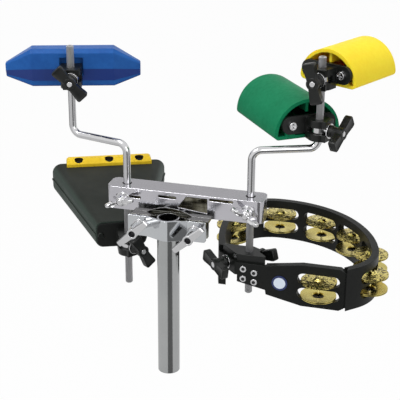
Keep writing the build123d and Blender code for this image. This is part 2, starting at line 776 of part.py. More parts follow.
with BuildPart() as bell_bracket:
    clamp_solid(bell_nut_turn)
    with BuildSketch(bell_end_plane):
        with Locations((bell_shift, bell_end_lift)):
            RectangleRounded(bell_end_width - 4, bell_end_height - 4, bell_end_corner - 2)
    extrude(amount=bell_plate)
    with BuildSketch(Plane.XY.offset(-clamp_height / 2)):
        Rectangle(2 * clamp_radius, bell_start - bell_plate, align=(Align.CENTER, Align.MIN))
    extrude(amount=clamp_height)
    clamp_cuts()
    with BuildSketch(bell_end_plane):
        with Locations(*bell_rivets_at):
            Circle(bell_rivet_radius)
    extrude(amount=bell_plate, mode=Mode.SUBTRACT)
save(bell_bracket, "cowbell_bracket", bell_frame)
save_clamp("cowbell", bell_frame, bell_nut_turn, bell_tee_turn)

with BuildPart() as bell_rivets:
    with BuildSketch(bell_end_plane.offset(bell_plate)):
        with Locations(*bell_rivets_at):
            Circle(bell_rivet_head)
    extrude(amount=bell_rivet_rise, taper=30)
    with BuildSketch(bell_end_plane.offset(bell_plate)):
        with Locations(*bell_rivets_at):
            Circle(bell_rivet_radius)
    extrude(amount=-bell_plate - bell_wall)
save(bell_rivets, "cowbell_rivets", bell_frame)

# ---- tambourine --------------------------------------------------------------

# plans are in the ring's own axes, where the rod stands at ring_rod
ring_rod_x, ring_rod_y = 98.7, 31.5
ring_place = Location((rod_right_x - ring_rod_x, rod_y - ring_rod_y, 0))
ring_top = ring_eye + ring_rise
ring_bottom = ring_top - ring_height
slot_upper = ring_top - slot_upper_drop
slot_lower = ring_top - slot_lower_drop
pin_length = ring_height - pin_drop
ring_front = 14.0
ring_corner_left, ring_front_left = (56.0, 42.0), (84.0, ring_front)
ring_front_right, ring_corner_right = (226.0, ring_front), (238.0, 26.0)
ring_back = (                 # joints of the tangent arcs of the curved wall, from right to left
    (258.0, 85.0), (216.0, 174.0), (100.0, 223.0), (41.5, 167.0), ring_corner_left,
)
ring_start = 43.0             # heading of the curved wall at the right corner
taper_right, taper_left = 171.0, 125.0      # the front wall is lower left of these
taper_top, taper_bottom = 7.0, 10.0
skin_right, skin_back = 124.0, 46.0         # and a thin skin left of this
skin_rise, skin_left, skin_left_rise, corner_rise = 16.0, 87.0, 23.5, 33.0
corner_notch, corner_notch_drop, corner_groove = 7.0, 5.0, 1.4      # at the right end of the front wall
jingle_stations = (0.07, 0.195, 0.32, 0.445, 0.575, 0.76)   # shares of the curved wall
front_station = 192.0



def rivet_spots(rod=0.0, eye=0.0):
    """The rivets' places on a plane across Y, from the rod and the eye bolt."""
    return Locations(*[(rod + x, eye + z) for x, z in rivets_at])


with BuildLine() as ring_curved_wall:
    heading = Vector(1, 0).rotate(Axis.Z, ring_start)
    begin = ring_corner_right
    for joint in ring_back:
        arc = TangentArc(begin, joint, tangent=heading)
        begin, heading = arc @ 1, arc % 1
ring_curve = ring_curved_wall.wires()[0]
with BuildSketch() as ring_plan:
    with BuildLine():
        Polyline(ring_corner_left, ring_front_left, ring_front_right, ring_corner_right)
        add(ring_curved_wall.line)
    make_face()
with BuildSketch(Plane.XY.offset(ring_bottom), mode=Mode.PRIVATE) as skin_plan:
    add(ring_plan.sketch)
    offset(amount=-ring_skin, kind=Kind.INTERSECTION)
    with Locations((ring_corner_left[0] - 2 * ring_wall, 0)):
        Rectangle(skin_right - ring_corner_left[0] + 2 * ring_wall, skin_back,
                  align=(Align.MIN, Align.MIN), mode=Mode.INTERSECT)

skin_front = ring_front + ring_skin
corner_line = sum(ring_front_left) + ring_skin * 2**0.5      # x + y along the skin's inner corner
bracket_back = skin_back - 1.0
bracket_right = skin_right - 2.0
bracket_flange = 3.0
corner_bolt_z = ring_eye - 4.0
corner_bolt_seat = 11.0        # metal between the corner's skin and the bolt's head
corner_bolt_head, corner_bolt_head_height = 6.5, 5.0
corner_bolt_side = 21.0        # x - y of the bolt, halved
rivets_at = ((-3.7, -5.2), (10.7, -8.8), (-3.7, -18.6), (10.7, -21.6))       # from the rod and eye bolt
rivet_head, rivet_hole, rivet_shank, rivet_rise = 4.2, 1.6, 3.0, 1.2
corner_point = Vector(corner_line / 2 + corner_bolt_side, corner_line / 2 - corner_bolt_side,
                      corner_bolt_z)
corner_row = Plane(corner_point, x_dir=(1, -1, 0), z_dir=(-1, -1, 0))
corner_axis = Plane(corner_point - Vector(ring_rod_x, ring_rod_y, ring_eye), x_dir=(1, -1, 0),
                    z_dir=(-1, -1, 0))

front_middle = Plane((front_station, ring_front + ring_wall / 2, 0), x_dir=(1, 0, 0), z_dir=(0, -1, 0))
station_planes = [front_middle]
for share in jingle_stations:
    along = ring_curve % share
    outward = Vector(along.Y, -along.X, 0)
    point = ring_curve @ share - outward * (ring_wall / 2)
    station_planes.append(Plane((point.X, point.Y, 0), x_dir=(along.X, along.Y, 0), z_dir=outward))

with BuildPart() as tambourine_frame:
    with BuildSketch(Plane.XY.offset(ring_bottom)):
        add(ring_plan.sketch)
        offset(amount=-ring_wall, kind=Kind.INTERSECTION, mode=Mode.SUBTRACT)
    extrude(amount=ring_height)
    for plane in station_planes:
        with BuildSketch(plane):
            with Locations((0, slot_upper), (0, slot_lower)):
                SlotOverall(slot_length, slot_height)
        extrude(amount=ring_wall, both=True, mode=Mode.SUBTRACT)
        with BuildSketch(Plane((plane.origin.X, plane.origin.Y, ring_bottom))):
            Circle(pin_radius)
        extrude(amount=pin_length, mode=Mode.SUBTRACT)
    # the front wall lowers to the left, then thins to a skin over the bracket
    extrude(skin_plan.sketch, amount=ring_height, mode=Mode.SUBTRACT)
    with BuildSketch(Plane.XZ.offset(-skin_back)):
        Polygon(
            (taper_right, ring_top), (taper_left, ring_top - taper_top),
            (0, ring_top - taper_top), (0, ring_top + ring_wall), (taper_right, ring_top + ring_wall),
            align=None,
        )
        Polygon(
            (taper_right, ring_bottom), (taper_left, ring_bottom + taper_bottom),
            (skin_right, ring_bottom + skin_rise), (skin_left, ring_bottom + skin_left_rise),
            (skin_left, ring_bottom + corner_rise), (0, ring_bottom + corner_rise),
            (0, ring_bottom - ring_wall), (taper_right, ring_bottom - ring_wall),
            align=None,
        )
    extrude(amount=skin_back, mode=Mode.SUBTRACT)
    # notches and a groove where the front wall meets the corner
    with BuildSketch(Plane.XZ.offset(-ring_front - ring_wall)):
        for edge, drop, clear in ((ring_top, -corner_notch_drop, 1), (ring_bottom, corner_notch_drop, -1)):
            Polygon(
                (ring_front_right[0] - corner_notch, edge), (ring_front_right[0] + 1, edge + drop),
                (ring_front_right[0] + 1, edge + clear), (ring_front_right[0] - corner_notch, edge + clear),
                align=None,
            )
    extrude(amount=ring_wall, mode=Mode.SUBTRACT)
    with BuildSketch(Plane.XY.offset(ring_bottom)):
        with Locations(ring_front_right):
            Rectangle(corner_groove, 2 * corner_groove)
    extrude(amount=ring_height, mode=Mode.SUBTRACT)
    with BuildSketch(Plane.XZ.offset(-ring_front - ring_skin)):
        with rivet_spots(ring_rod_x, ring_eye):
            Circle(rivet_shank)
    extrude(amount=ring_skin, mode=Mode.SUBTRACT)
    with BuildSketch(corner_row):
        Circle(shank_radius)
    extrude(amount=ring_skin, mode=Mode.SUBTRACT)
save(tambourine_frame, "tambourine_frame", ring_place)

with BuildPart() as tambourine_pins:
    for plane in station_planes:
        with BuildSketch(Plane((plane.origin.X, plane.origin.Y, ring_bottom))):
            Circle(pin_radius)
        extrude(amount=pin_length)
save(tambourine_pins, "tambourine_pins", ring_place)

# two pairs of jingles on each pin: the upper pair rim to rim, the lower pair nested cup down
jingle_rise = jingle_cup + jingle_dish + jingle_sheet
with BuildPart() as jingle_disc:
    with BuildSketch(Plane.XZ):
        Polygon(
            (pin_radius + loose_gap, jingle_rise), (0.55 * jingle_cup_radius, jingle_rise),
            (jingle_cup_radius, jingle_dish + jingle_sheet), (jingle_radius, jingle_sheet),
            (jingle_radius, 0), (jingle_cup_radius, jingle_dish),
            (0.55 * jingle_cup_radius, jingle_rise - jingle_sheet),
            (pin_radius + loose_gap, jingle_rise - jingle_sheet),
            align=None,
        )
    revolve(axis=Axis.Z)
cup_down = Location((0, 0, 0), (180, 0, 0))
rim_lift = jingle_seat - slot_height / 2 + jingle_rise
for number, plane in enumerate(station_planes, 1):
    upper = Location((plane.origin.X, plane.origin.Y, slot_upper + rim_lift))
    lower = Location((plane.origin.X, plane.origin.Y, slot_lower + rim_lift))
    with BuildPart() as jingles:
        add([
            jingle_disc.part.moved(upper * Location((0, 0, jingle_spacing))),
            jingle_disc.part.moved(upper * cup_down),
            jingle_disc.part.moved(lower * Location((0, 0, jingle_spacing + jingle_sheet)) * cup_down),
            jingle_disc.part.moved(lower * cup_down),
        ])
    save(jingles, f"jingles_{number}", ring_place)

# the bracket fills the corner behind the skin and grips the rod
with BuildPart() as ring_bracket:
    clamp_solid(ring_nut_turn)
    with BuildSketch(Plane.XY.offset(-clamp_height / 2)):
        with Locations((-ring_rod_x, -ring_rod_y)):
            Polygon(
                (corner_line - skin_front, skin_front), (bracket_right, skin_front),
                (bracket_right, skin_front + bracket_flange), (ring_rod_x + clamp_radius, ring_rod_y),
                (ring_rod_x, ring_rod_y + clamp_radius), (corner_line - skin_back + ring_skin, bracket_back),
                (corner_line - skin_back + ring_skin, skin_back - ring_skin),
                align=None,
            )
    extrude(amount=clamp_height)
    with BuildSketch(Plane.XZ.offset(ring_rod_y - skin_front)):
        Polygon(
            (skin_left - ring_rod_x, 0), (bracket_right - ring_rod_x, 0),
            (bracket_right - ring_rod_x, ring_bottom + skin_rise + 1 - ring_eye),
            (skin_left - ring_rod_x, ring_bottom + skin_left_rise - ring_eye),
            align=None,
        )
    extrude(amount=-bracket_flange)
    with BuildSketch(Plane.XY.offset(-eye_slot / 2)):
        Circle(eye_outer_radius + loose_gap)
        with Locations(Location((0, 0, 0), (0, 0, ring_nut_turn))):
            Rectangle(2 * (eye_outer_radius + loose_gap), 2 * clamp_pad, align=(Align.CENTER, Align.MAX))
    extrude(amount=eye_slot, mode=Mode.SUBTRACT)
    with BuildSketch(Plane.XY.offset(-clamp_height)):
        Circle(rod_bore)
    extrude(amount=2 * clamp_height, mode=Mode.SUBTRACT)
    with BuildSketch(corner_axis):
        Circle(shank_radius)
    extrude(amount=-corner_bolt_seat, mode=Mode.SUBTRACT)
    with BuildSketch(corner_axis.offset(-corner_bolt_seat)):
        Circle(corner_bolt_head + loose_gap)
    extrude(amount=-2 * clamp_radius, mode=Mode.SUBTRACT)
    with BuildSketch(Plane.XZ.offset(ring_rod_y - skin_front)):
        with rivet_spots():
            Circle(rivet_shank)
    extrude(amount=-bracket_flange, mode=Mode.SUBTRACT)
save(ring_bracket, "tambourine_bracket", ring_frame)

with BuildPart() as ring_rivets:
    with BuildSketch(Plane.XZ.offset(ring_rod_y - ring_front)):
        with rivet_spots():
            Circle(rivet_head)
    extrude(amount=rivet_rise)
    with BuildSketch(Plane.XZ.offset(ring_rod_y - ring_front)):
        with rivet_spots():
            Circle(rivet_shank)
    extrude(amount=-ring_skin - bracket_flange)
    with BuildSketch(Plane.XZ.offset(ring_rod_y - ring_front)):
        with rivet_spots():
            Circle(rivet_hole)
    extrude(amount=rivet_rise, mode=Mode.SUBTRACT)
save(ring_rivets, "tambourine_rivets", ring_frame)

corner_outer = corner_axis.offset(ring_skin)
corner_nut_start = ring_skin + washer_thickness + nut_gap
corner_nut_reach = corner_nut_start + tee_reach - tee_start
with BuildPart() as corner_bolt:
    with BuildSketch(corner_axis.offset(-corner_bolt_seat)):
        RegularPolygon(corner_bolt_head, 6)
    extrude(amount=-corner_bolt_head_height)
    with BuildSketch(corner_axis.offset(-corner_bolt_seat)):
        Circle(shank_radius)
    extrude(amount=corner_bolt_seat + corner_nut_reach - screw_recess)
save(corner_bolt, "tambourine_corner_bolt", ring_frame)
with BuildPart() as corner_washer:
    with BuildSketch(corner_outer):
        Circle(washer_radius)
        Circle(shank_hole, mode=Mode.SUBTRACT)
    extrude(amount=washer_thickness)
save(corner_washer, "tambourine_corner_washer", ring_frame)
corner_place = ring_frame * Location(corner_axis.origin, (0, 0, -45))
corner_nut = bar_nut(corner_nut_start, corner_nut_reach, tee_hub_radius, tee_length, tee_middle,
                     tee_end, tee_thickness, corner_tee_turn)
save(corner_nut, "tambourine_corner_nut", corner_place)

# the nut behind the rod is a shorter one, to stay clear of the ring
ring_nut_shortening = 7.0
ring_nut_reach = tee_reach - ring_nut_shortening
ring_nut_frame = turned(ring_frame, ring_nut_turn)
ring_nut = bar_nut(tee_start, ring_nut_reach, tee_hub_radius, tee_length - ring_nut_shortening,
                   tee_middle, tee_end, tee_thickness - 2.0, ring_tee_turn)
save(eye_bolt(ring_nut_reach - screw_recess), "tambourine_eye_bolt", ring_nut_frame)
save(tee_washer, "tambourine_washer", ring_nut_frame)
save(ring_nut, "tambourine_tee_nut", ring_nut_frame)

with BuildPart() as badge:
    with BuildSketch(Plane.XZ.offset(-ring_front)):
        with Locations((ring_rod_x + badge_right, ring_eye - badge_drop)):
            Circle(badge_radius)
    extrude(amount=badge_thickness)
save(badge, "tambourine_badge", ring_place)
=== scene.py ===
# Percussion rack on its stand tube: three moulded blocks, a cowbell and a jingle ring.
# Metres, Z up, X along the cross bar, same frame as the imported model.

import json
from math import cos, pi, radians, sin

import bmesh
import bpy
from mathutils import Matrix, Vector


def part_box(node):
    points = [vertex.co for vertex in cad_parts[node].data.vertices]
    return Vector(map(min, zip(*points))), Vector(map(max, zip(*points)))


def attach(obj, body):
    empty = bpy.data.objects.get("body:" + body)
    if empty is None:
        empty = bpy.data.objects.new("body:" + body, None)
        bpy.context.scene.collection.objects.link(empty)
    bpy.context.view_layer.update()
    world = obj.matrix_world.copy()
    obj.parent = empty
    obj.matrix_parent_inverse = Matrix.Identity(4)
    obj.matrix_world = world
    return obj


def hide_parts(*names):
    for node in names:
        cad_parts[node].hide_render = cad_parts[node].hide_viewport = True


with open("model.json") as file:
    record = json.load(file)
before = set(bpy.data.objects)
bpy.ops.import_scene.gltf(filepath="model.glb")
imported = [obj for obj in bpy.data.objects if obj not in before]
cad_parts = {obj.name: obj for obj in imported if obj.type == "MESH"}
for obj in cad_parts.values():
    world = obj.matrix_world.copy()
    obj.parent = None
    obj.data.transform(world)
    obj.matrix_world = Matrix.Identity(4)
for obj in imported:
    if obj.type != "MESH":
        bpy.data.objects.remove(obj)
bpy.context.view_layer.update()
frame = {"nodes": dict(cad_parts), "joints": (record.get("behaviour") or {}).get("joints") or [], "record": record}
parts = frame["nodes"]
slotOf = {entry["node"]: entry["material_slot"] for entry in frame["record"]["subparts"]}
print("frame loaded:", len(parts), "nodes")


def addObject(name, data):
    obj = bpy.data.objects.new(name, data)
    bpy.context.scene.collection.objects.link(obj)
    return obj


# camera, a long lens a little to the right and above
cameraSetup = {
    "target": (0.04134, 0.0, 0.24713),
    "azimuth": 15.27,
    "elevation": 22.3,
    "roll": 0.38,
    "distance": 1.365,
    "lens": 99.0,
    "sensor": 36.0,
    "clip": (0.01, 50),
}


def placeCamera(setup):
    a, e, r = (radians(setup[k]) for k in ("azimuth", "elevation", "roll"))
    forward = Vector((-sin(a) * cos(e), cos(a) * cos(e), -sin(e)))
    side = Vector((cos(a), sin(a), 0))
    up = side.cross(forward)
    right = side * cos(r) + up * sin(r)
    top = up * cos(r) - side * sin(r)
    data = bpy.data.cameras.new("rackCamera")
    data.lens = setup["lens"]
    data.sensor_width = setup["sensor"]
    data.clip_start, data.clip_end = setup["clip"]
    cam = addObject("rackCamera", data)
    cam.matrix_world = Matrix((right, top, -forward)).transposed().to_4x4()
    cam.location = Vector(setup["target"]) - forward * setup["distance"]
    bpy.context.scene.camera = cam


placeCamera(cameraSetup)
bpy.context.scene.view_settings.view_transform = "Standard"
print("camera placed")


# a material under construction, with the node helpers that every finish below uses
class Finish:
    def __init__(self, name):
        self.mat = bpy.data.materials.new(name)
        self.mat.use_nodes = True
        self.tree = self.mat.node_tree
        self.shader = self.tree.nodes["Principled BSDF"]
        self.coords = self.add("ShaderNodeTexCoord").outputs["Object"]

    def add(self, kind, **props):
        node = self.tree.nodes.new(kind)
        for key, value in props.items():
            setattr(node, key, value)
        return node

    def feed(self, socket, value):
        # a colour, a plain number or the output of another node
        if isinstance(value, tuple):
            socket.default_value = (*value, 1)
        elif isinstance(value, (int, float)):
            socket.default_value = value
        else:
            self.tree.links.new(value, socket)

    def math(self, operation, a, b=None, clamp=False):
        node = self.add("ShaderNodeMath", operation=operation, use_clamp=clamp)
        self.feed(node.inputs[0], a)
        if b is not None:
            self.feed(node.inputs[1], b)
        return node.outputs[0]

    def split(self, vector):
        node = self.add("ShaderNodeSeparateXYZ")
        self.feed(node.inputs[0], vector)
        return node.outputs[:]

    def facing(self):
        # how far a face looks up, from -1 to 1
        return self.split(self.add("ShaderNodeNewGeometry").outputs["True Normal"])[2]

    def away(self, a, b, spot):
        # distance from a spot, seen along the third axis
        across = self.math("SUBTRACT", a, spot[0])
        along = self.math("SUBTRACT", b, spot[1])
        squares = [self.math("MULTIPLY", side, side) for side in (across, along)]
        return self.math("SQRT", self.math("ADD", *squares))

    def noise(self, scale, detail=3.0, stretch=(1, 1, 1), rough=0.55):
        place = self.add("ShaderNodeMapping")
        place.inputs["Scale"].default_value = stretch
        self.feed(place.inputs["Vector"], self.coords)
        tex = self.add("ShaderNodeTexNoise")
        self.feed(tex.inputs["Scale"], scale)
        self.feed(tex.inputs["Detail"], detail)
        self.feed(tex.inputs["Roughness"], rough)
        self.feed(tex.inputs["Vector"], place.outputs[0])
        return tex.outputs[0]

    def spread(self, value, low, high, source=(0.3, 0.7)):
        # the source range, by default the middle of a noise, stretched over low to high
        node = self.add("ShaderNodeMapRange")
        for key, number in zip(("From Min", "From Max", "To Min", "To Max"), (*source, low, high)):
            self.feed(node.inputs[key], number)
        self.feed(node.inputs["Value"], value)
        return node.outputs[0]

    def mix(self, factor, a, b):
        node = self.add("ShaderNodeMix", data_type="RGBA")
        for place, value in ((0, factor), (6, a), (7, b)):       # 6 and 7 are the colours
            self.feed(node.inputs[place], value)
        return node.outputs[2]

    def bump(self, height, strength, distance, under=None):
        node = self.add("ShaderNodeBump")
        self.feed(node.inputs["Strength"], strength)
        self.feed(node.inputs["Distance"], distance)
        self.feed(node.inputs["Height"], height)
        if under:
            self.feed(node.inputs["Normal"], under)
        return node.outputs[0]

    def softEdges(self, radius, samples=4):
        node = self.add("ShaderNodeBevel", samples=samples)
        self.feed(node.inputs["Radius"], radius)
        return node.outputs[0]

    def set(self, **sockets):
        names = {"base": "Base Color", "metal": "Metallic", "rough": "Roughness",
                 "normal": "Normal", "specular": "Specular IOR Level"}
        for key, value in sockets.items():
            self.feed(self.shader.inputs[names[key]], value)
        return self.mat


def linear(r, g, b):
    # scene-linear tone of an 8-bit screen colour
    return tuple(((c / 255 + 0.055) / 1.055) ** 2.4 if c > 10 else c / 255 / 12.92
                 for c in (r, g, b))


# polished and brushed metal; the shaded lid is painted shade on the faces that look up
metalLooks = {
    "tubeChrome": {"tone": (0.50, 0.51, 0.51), "rough": 0.12, "edge": 0.0005,
                   "grain": 90, "stretch": (1, 1, 0.05)},
    "barChrome": {"tone": (0.64, 0.63, 0.67), "rough": 0.14, "edge": 0.0012,
                  "grain": 120, "stretch": (0.06, 1, 1)},
    "plateChrome": {"tone": (0.64, 0.66, 0.68), "rough": 0.07, "edge": 0.0007,
                    "grain": 60, "stretch": (0.3, 1, 1)},
    "saddleChrome": {"tone": (0.30, 0.30, 0.27), "rough": 0.16, "edge": 0.0006,
                     "grain": 60, "stretch": (0.3, 1, 1), "shadedLid": (0.22, 0.22, 0.21)},
    "screwChrome": {"tone": (0.70, 0.70, 0.71), "rough": 0.08, "edge": 0.0009,
                    "grain": 200, "stretch": (1, 1, 1)},
}
metalWearAndShade = {
    "patches": 14,
    "patchTone": 0.82,       # share of the clean tone that is left in a patch
    "patchCover": 0.6,
    "smearRange": (0.25, 0.75),
    "smearRough": (0.7, 1.5),
    "smearBump": 0.08,
    "smearDepth": 0.0003,
    "edgeSamples": 12,
    "shadedLidSlope": 0.8,
}

# the cross bar's marks: dark rings of painted shade where the rods go through, and a streaked inside darkened with
# painted shade
barMarks = {
    "shadeRingRadius": 0.0064,
    "shadeRingTone": (0.05, 0.05, 0.05),
    "wall": 0.0027,          # what lies deeper than this in the bar's box is its inside
    "openBelow": 0.02,       # the channel has no floor, so its box is carried down
    "streaks": 110,
    "streakStretch": (1, 1, 0.08),
    "streakRange": (0.35, 0.65),
    "dullTones": ((0.26, 0.24, 0.17), (0.78, 0.75, 0.62)),
}


def shadedInside(f, base, low, high):
    # streaked and darkened with painted shade wherever a point lies deeper in the box than the wall
    marks = barMarks
    middle, reach = (low + high) / 2, (high - low) / 2
    depths = []
    for k, spot in enumerate(f.split(f.coords)):
        offset = f.math("ABSOLUTE", f.math("SUBTRACT", spot, middle[k]))
        depths.append(f.math("SUBTRACT", offset, reach[k] - marks["wall"]))
    deepest = f.math("MAXIMUM", f.math("MAXIMUM", depths[0], depths[1]), depths[2])
    streaks = f.noise(marks["streaks"], detail=3, stretch=marks["streakStretch"])
    dull = f.mix(f.spread(streaks, 0, 1, marks["streakRange"]), *marks["dullTones"])
    return f.mix(f.math("LESS_THAN", deepest, 0.0), base, dull)


# painted shade: a dark ring round each rod where it goes through the bar
def rodShadeRings(f, base, rods):
    x, y = f.split(f.coords)[:2]
    for rod in rods:
        inShadeRing = f.math("LESS_THAN", f.away(x, y, rod), barMarks["shadeRingRadius"])
        base = f.mix(inShadeRing, base, barMarks["shadeRingTone"])
    return base


def metalFinish(name, rods=None, hollow=None):
    look, wearAndShade = metalLooks[name], metalWearAndShade
    f = Finish(name)
    smear = f.noise(look["grain"], detail=4, stretch=look["stretch"])
    patch = f.spread(f.noise(wearAndShade["patches"], detail=2), 0, wearAndShade["patchCover"])
    base = f.mix(patch, look["tone"], tuple(wearAndShade["patchTone"] * c for c in look["tone"]))
    # painted shade: faces that look up take the darker lid tone
    if "shadedLid" in look:
        base = f.mix(f.math("GREATER_THAN", f.facing(), wearAndShade["shadedLidSlope"]), base, look["shadedLid"])
    if hollow:
        base = shadedInside(f, base, *hollow)
    if rods:
        base = rodShadeRings(f, base, rods)
    rough = f.spread(smear, *(look["rough"] * k for k in wearAndShade["smearRough"]), wearAndShade["smearRange"])
    edges = f.softEdges(look["edge"], wearAndShade["edgeSamples"])
    normal = f.bump(smear, wearAndShade["smearBump"], wearAndShade["smearDepth"], edges)
    return f.set(base=base, metal=1.0, rough=rough, normal=normal)


# the rods: fine straight flutes where clamps grip, smooth chrome round the bends
rodLook = {
    "tone": (0.62, 0.62, 0.63),
    "fluteTone": (0.46, 0.46, 0.47),
    "flutes": 40,
    "fluteBump": 0.9,
    "fluteDepth": 0.00025,
    "fluteRough": 0.25,      # added to the plain roughness
    "rough": (0.1, 0.2),
    "smear": 150,
    "smearStretch": (1, 1, 0.1),
    "lowerTop": 0.112,       # flutes under the bar, from the rod's foot
    "upperFoot": {"rod_left": 0.262, "rod_right": 0.228},
    "endRun": 0.03,          # length at each end that is surely straight
}


def rodFinish(name, lowerAxis, upperAxis, lowerTop, upperFoot):
    look = rodLook
    f = Finish(name)
    x, y, z = f.split(f.coords)

    def fluteAround(axis):
        angle = f.math("ARCTAN2", f.math("SUBTRACT", y, axis[1]), f.math("SUBTRACT", x, axis[0]))
        return f.math("SINE", f.math("MULTIPLY", angle, look["flutes"]))

    isLower = f.math("LESS_THAN", z, lowerTop)
    isUpper = f.math("GREATER_THAN", z, upperFoot)
    lower = f.math("MULTIPLY", fluteAround(lowerAxis), isLower)
    upper = f.math("MULTIPLY", fluteAround(upperAxis), isUpper)
    fluted = f.math("ADD", isLower, isUpper, clamp=True)
    smear = f.noise(look["smear"], detail=3, stretch=look["smearStretch"])
    base = f.mix(fluted, look["tone"], look["fluteTone"])
    rough = f.math("ADD", f.spread(smear, *look["rough"]),
                   f.math("MULTIPLY", fluted, look["fluteRough"]))
    normal = f.bump(f.math("ADD", lower, upper), look["fluteBump"], look["fluteDepth"])
    return f.set(base=base, metal=1.0, rough=rough, normal=normal)


# moulded plastics; "under" is painted shade on the faces that look down
plasticLooks = {
    "bluePlastic": {"tone": linear(34, 92, 164), "shade": linear(27, 80, 150), "rough": 0.36,
                    "speckle": 160, "grain": 0.02, "edge": 0.0016, "gloss": 0.16,
                    "under": linear(34, 60, 132)},
    "greenPlastic": {"tone": linear(18, 126, 84), "shade": linear(13, 112, 74), "rough": 0.46,
                     "speckle": 200, "grain": 0.04, "edge": 0.0012, "gloss": 0.08},
    "yellowPlastic": {"tone": linear(249, 224, 56), "shade": linear(243, 214, 46), "rough": 0.44,
                      "speckle": 200, "grain": 0.04, "edge": 0.0012, "gloss": 0.12,
                      "glowThrough": 0.5},
    "ridgePlastic": {"tone": linear(238, 202, 40), "shade": linear(222, 184, 30), "rough": 0.44,
                     "speckle": 220, "grain": 0.04, "edge": 0.0009, "gloss": 0.20},
    "blackPlastic": {"tone": linear(20, 22, 20), "shade": linear(13, 15, 14), "rough": 0.34,
                     "speckle": 320, "grain": 0.10, "edge": 0.0010, "gloss": 0.35},
    "ringPlastic": {"tone": linear(22, 24, 22), "shade": linear(15, 16, 15), "rough": 0.36,
                    "speckle": 260, "grain": 0.08, "edge": 0.0009, "gloss": 0.20},
}
mouldMarks = {
    "speckleRough": 0.6,
    "clouds": 22,
    "blend": (0.35, 0.65),
    "shadeCover": 0.5,       # of the speckle, and again of the clouds
    "roughSpread": (0.9, 1.15),
    "grainDepth": 0.0002,
    "underShadeSlopes": (-0.1, -0.4),
    "glowReach": (1.0, 0.7, 0.2),
    "glowScale": 0.003,
    "screwShadeTone": (0.02, 0.014, 0.006),
}


def plasticFinish(name, pits=()):
    look, marks = plasticLooks[name], mouldMarks
    f = Finish(name)
    cloud = f.noise(look["speckle"], detail=4, rough=marks["speckleRough"])
    covers = [f.spread(spots, 0, marks["shadeCover"], marks["blend"])
              for spots in (cloud, f.noise(marks["clouds"], detail=2))]
    base = f.mix(f.math("ADD", *covers, clamp=True), look["tone"], look["shade"])
    rough = f.spread(cloud, *(look["rough"] * k for k in marks["roughSpread"]))
    normal = f.bump(cloud, look["grain"], marks["grainDepth"], f.softEdges(look["edge"]))
    if pits:
        x, y = f.split(f.coords)[:2]
    # painted shade round each screw head
    for centre, reach in pits:
        base = f.mix(f.math("LESS_THAN", f.away(x, y, centre), reach), base, marks["screwShadeTone"])
    # painted shade: faces that look down take the darker under tone
    if "under" in look:
        base = f.mix(f.spread(f.facing(), 0, 1, marks["underShadeSlopes"]), base, look["under"])
    if "glowThrough" in look:    # light that soaks through a thin pale wall
        f.shader.inputs["Subsurface Weight"].default_value = look["glowThrough"]
        f.shader.inputs["Subsurface Radius"].default_value = marks["glowReach"]
        f.shader.inputs["Subsurface Scale"].default_value = marks["glowScale"]
    return f.set(base=base, rough=rough, normal=normal, specular=look["gloss"])


# powder coat on the cowbell, its rivets and screws; "side" is painted light on the upright faces
coatLooks = {
    "bellCoat": {"tone": linear(49, 52, 48), "shade": linear(41, 44, 40), "rough": 0.42,
                 "orangePeel": 420, "gloss": 0.05, "side": linear(62, 72, 66)},
    "rivetCoat": {"tone": linear(23, 26, 24), "shade": linear(16, 19, 17), "rough": 0.30,
                  "orangePeel": 500, "gloss": 0.30},
}
coatMarks = {
    "clouds": 16,
    "roughSpread": (0.85, 1.2),
    "peelBump": 0.15,
    "peelDepth": 0.0003,
    "edge": 0.0006,
    "sideSlopes": (0.5, 0.85),
}


def coatFinish(name):
    look, marks = coatLooks[name], coatMarks
    f = Finish(name)
    broad = f.noise(marks["clouds"], detail=3)
    base = f.mix(f.spread(broad, 0, 1), look["tone"], look["shade"])
    if "side" in look:
        # painted light: upright faces take the lighter side tone
        base = f.mix(f.spread(f.facing(), 1, 0, marks["sideSlopes"]), base, look["side"])
    rough = f.spread(broad, *(look["rough"] * k for k in marks["roughSpread"]))
    peel = f.noise(look["orangePeel"], detail=2)
    normal = f.bump(peel, marks["peelBump"], marks["peelDepth"], f.softEdges(marks["edge"]))
    return f.set(base=base, rough=rough, normal=normal, specular=look["gloss"])


# jingle discs: hammered and pitted in the upper row, plain in the lower with a dark cup of painted shade and
# reflection
brassLook = {
    "tone": linear(243, 227, 138),
    "tarnish": linear(226, 205, 116),
    "tarnishScale": 70,
    "tarnishRange": (0.35, 0.7),
    "pits": linear(52, 42, 16),
    "pitScale": 360,
    "pitRange": (0.53, 0.58),
    "pitCover": 0.95,
    "cup": linear(40, 36, 20),
    "cupRadius": 0.0068,
    "cupBlend": 0.0006,
    "rough": 0.24,
    "roughSpread": (0.8, 1.4),
    "dents": 330,
    "dentBump": 0.7,
    "dentDepth": 0.0009,
}


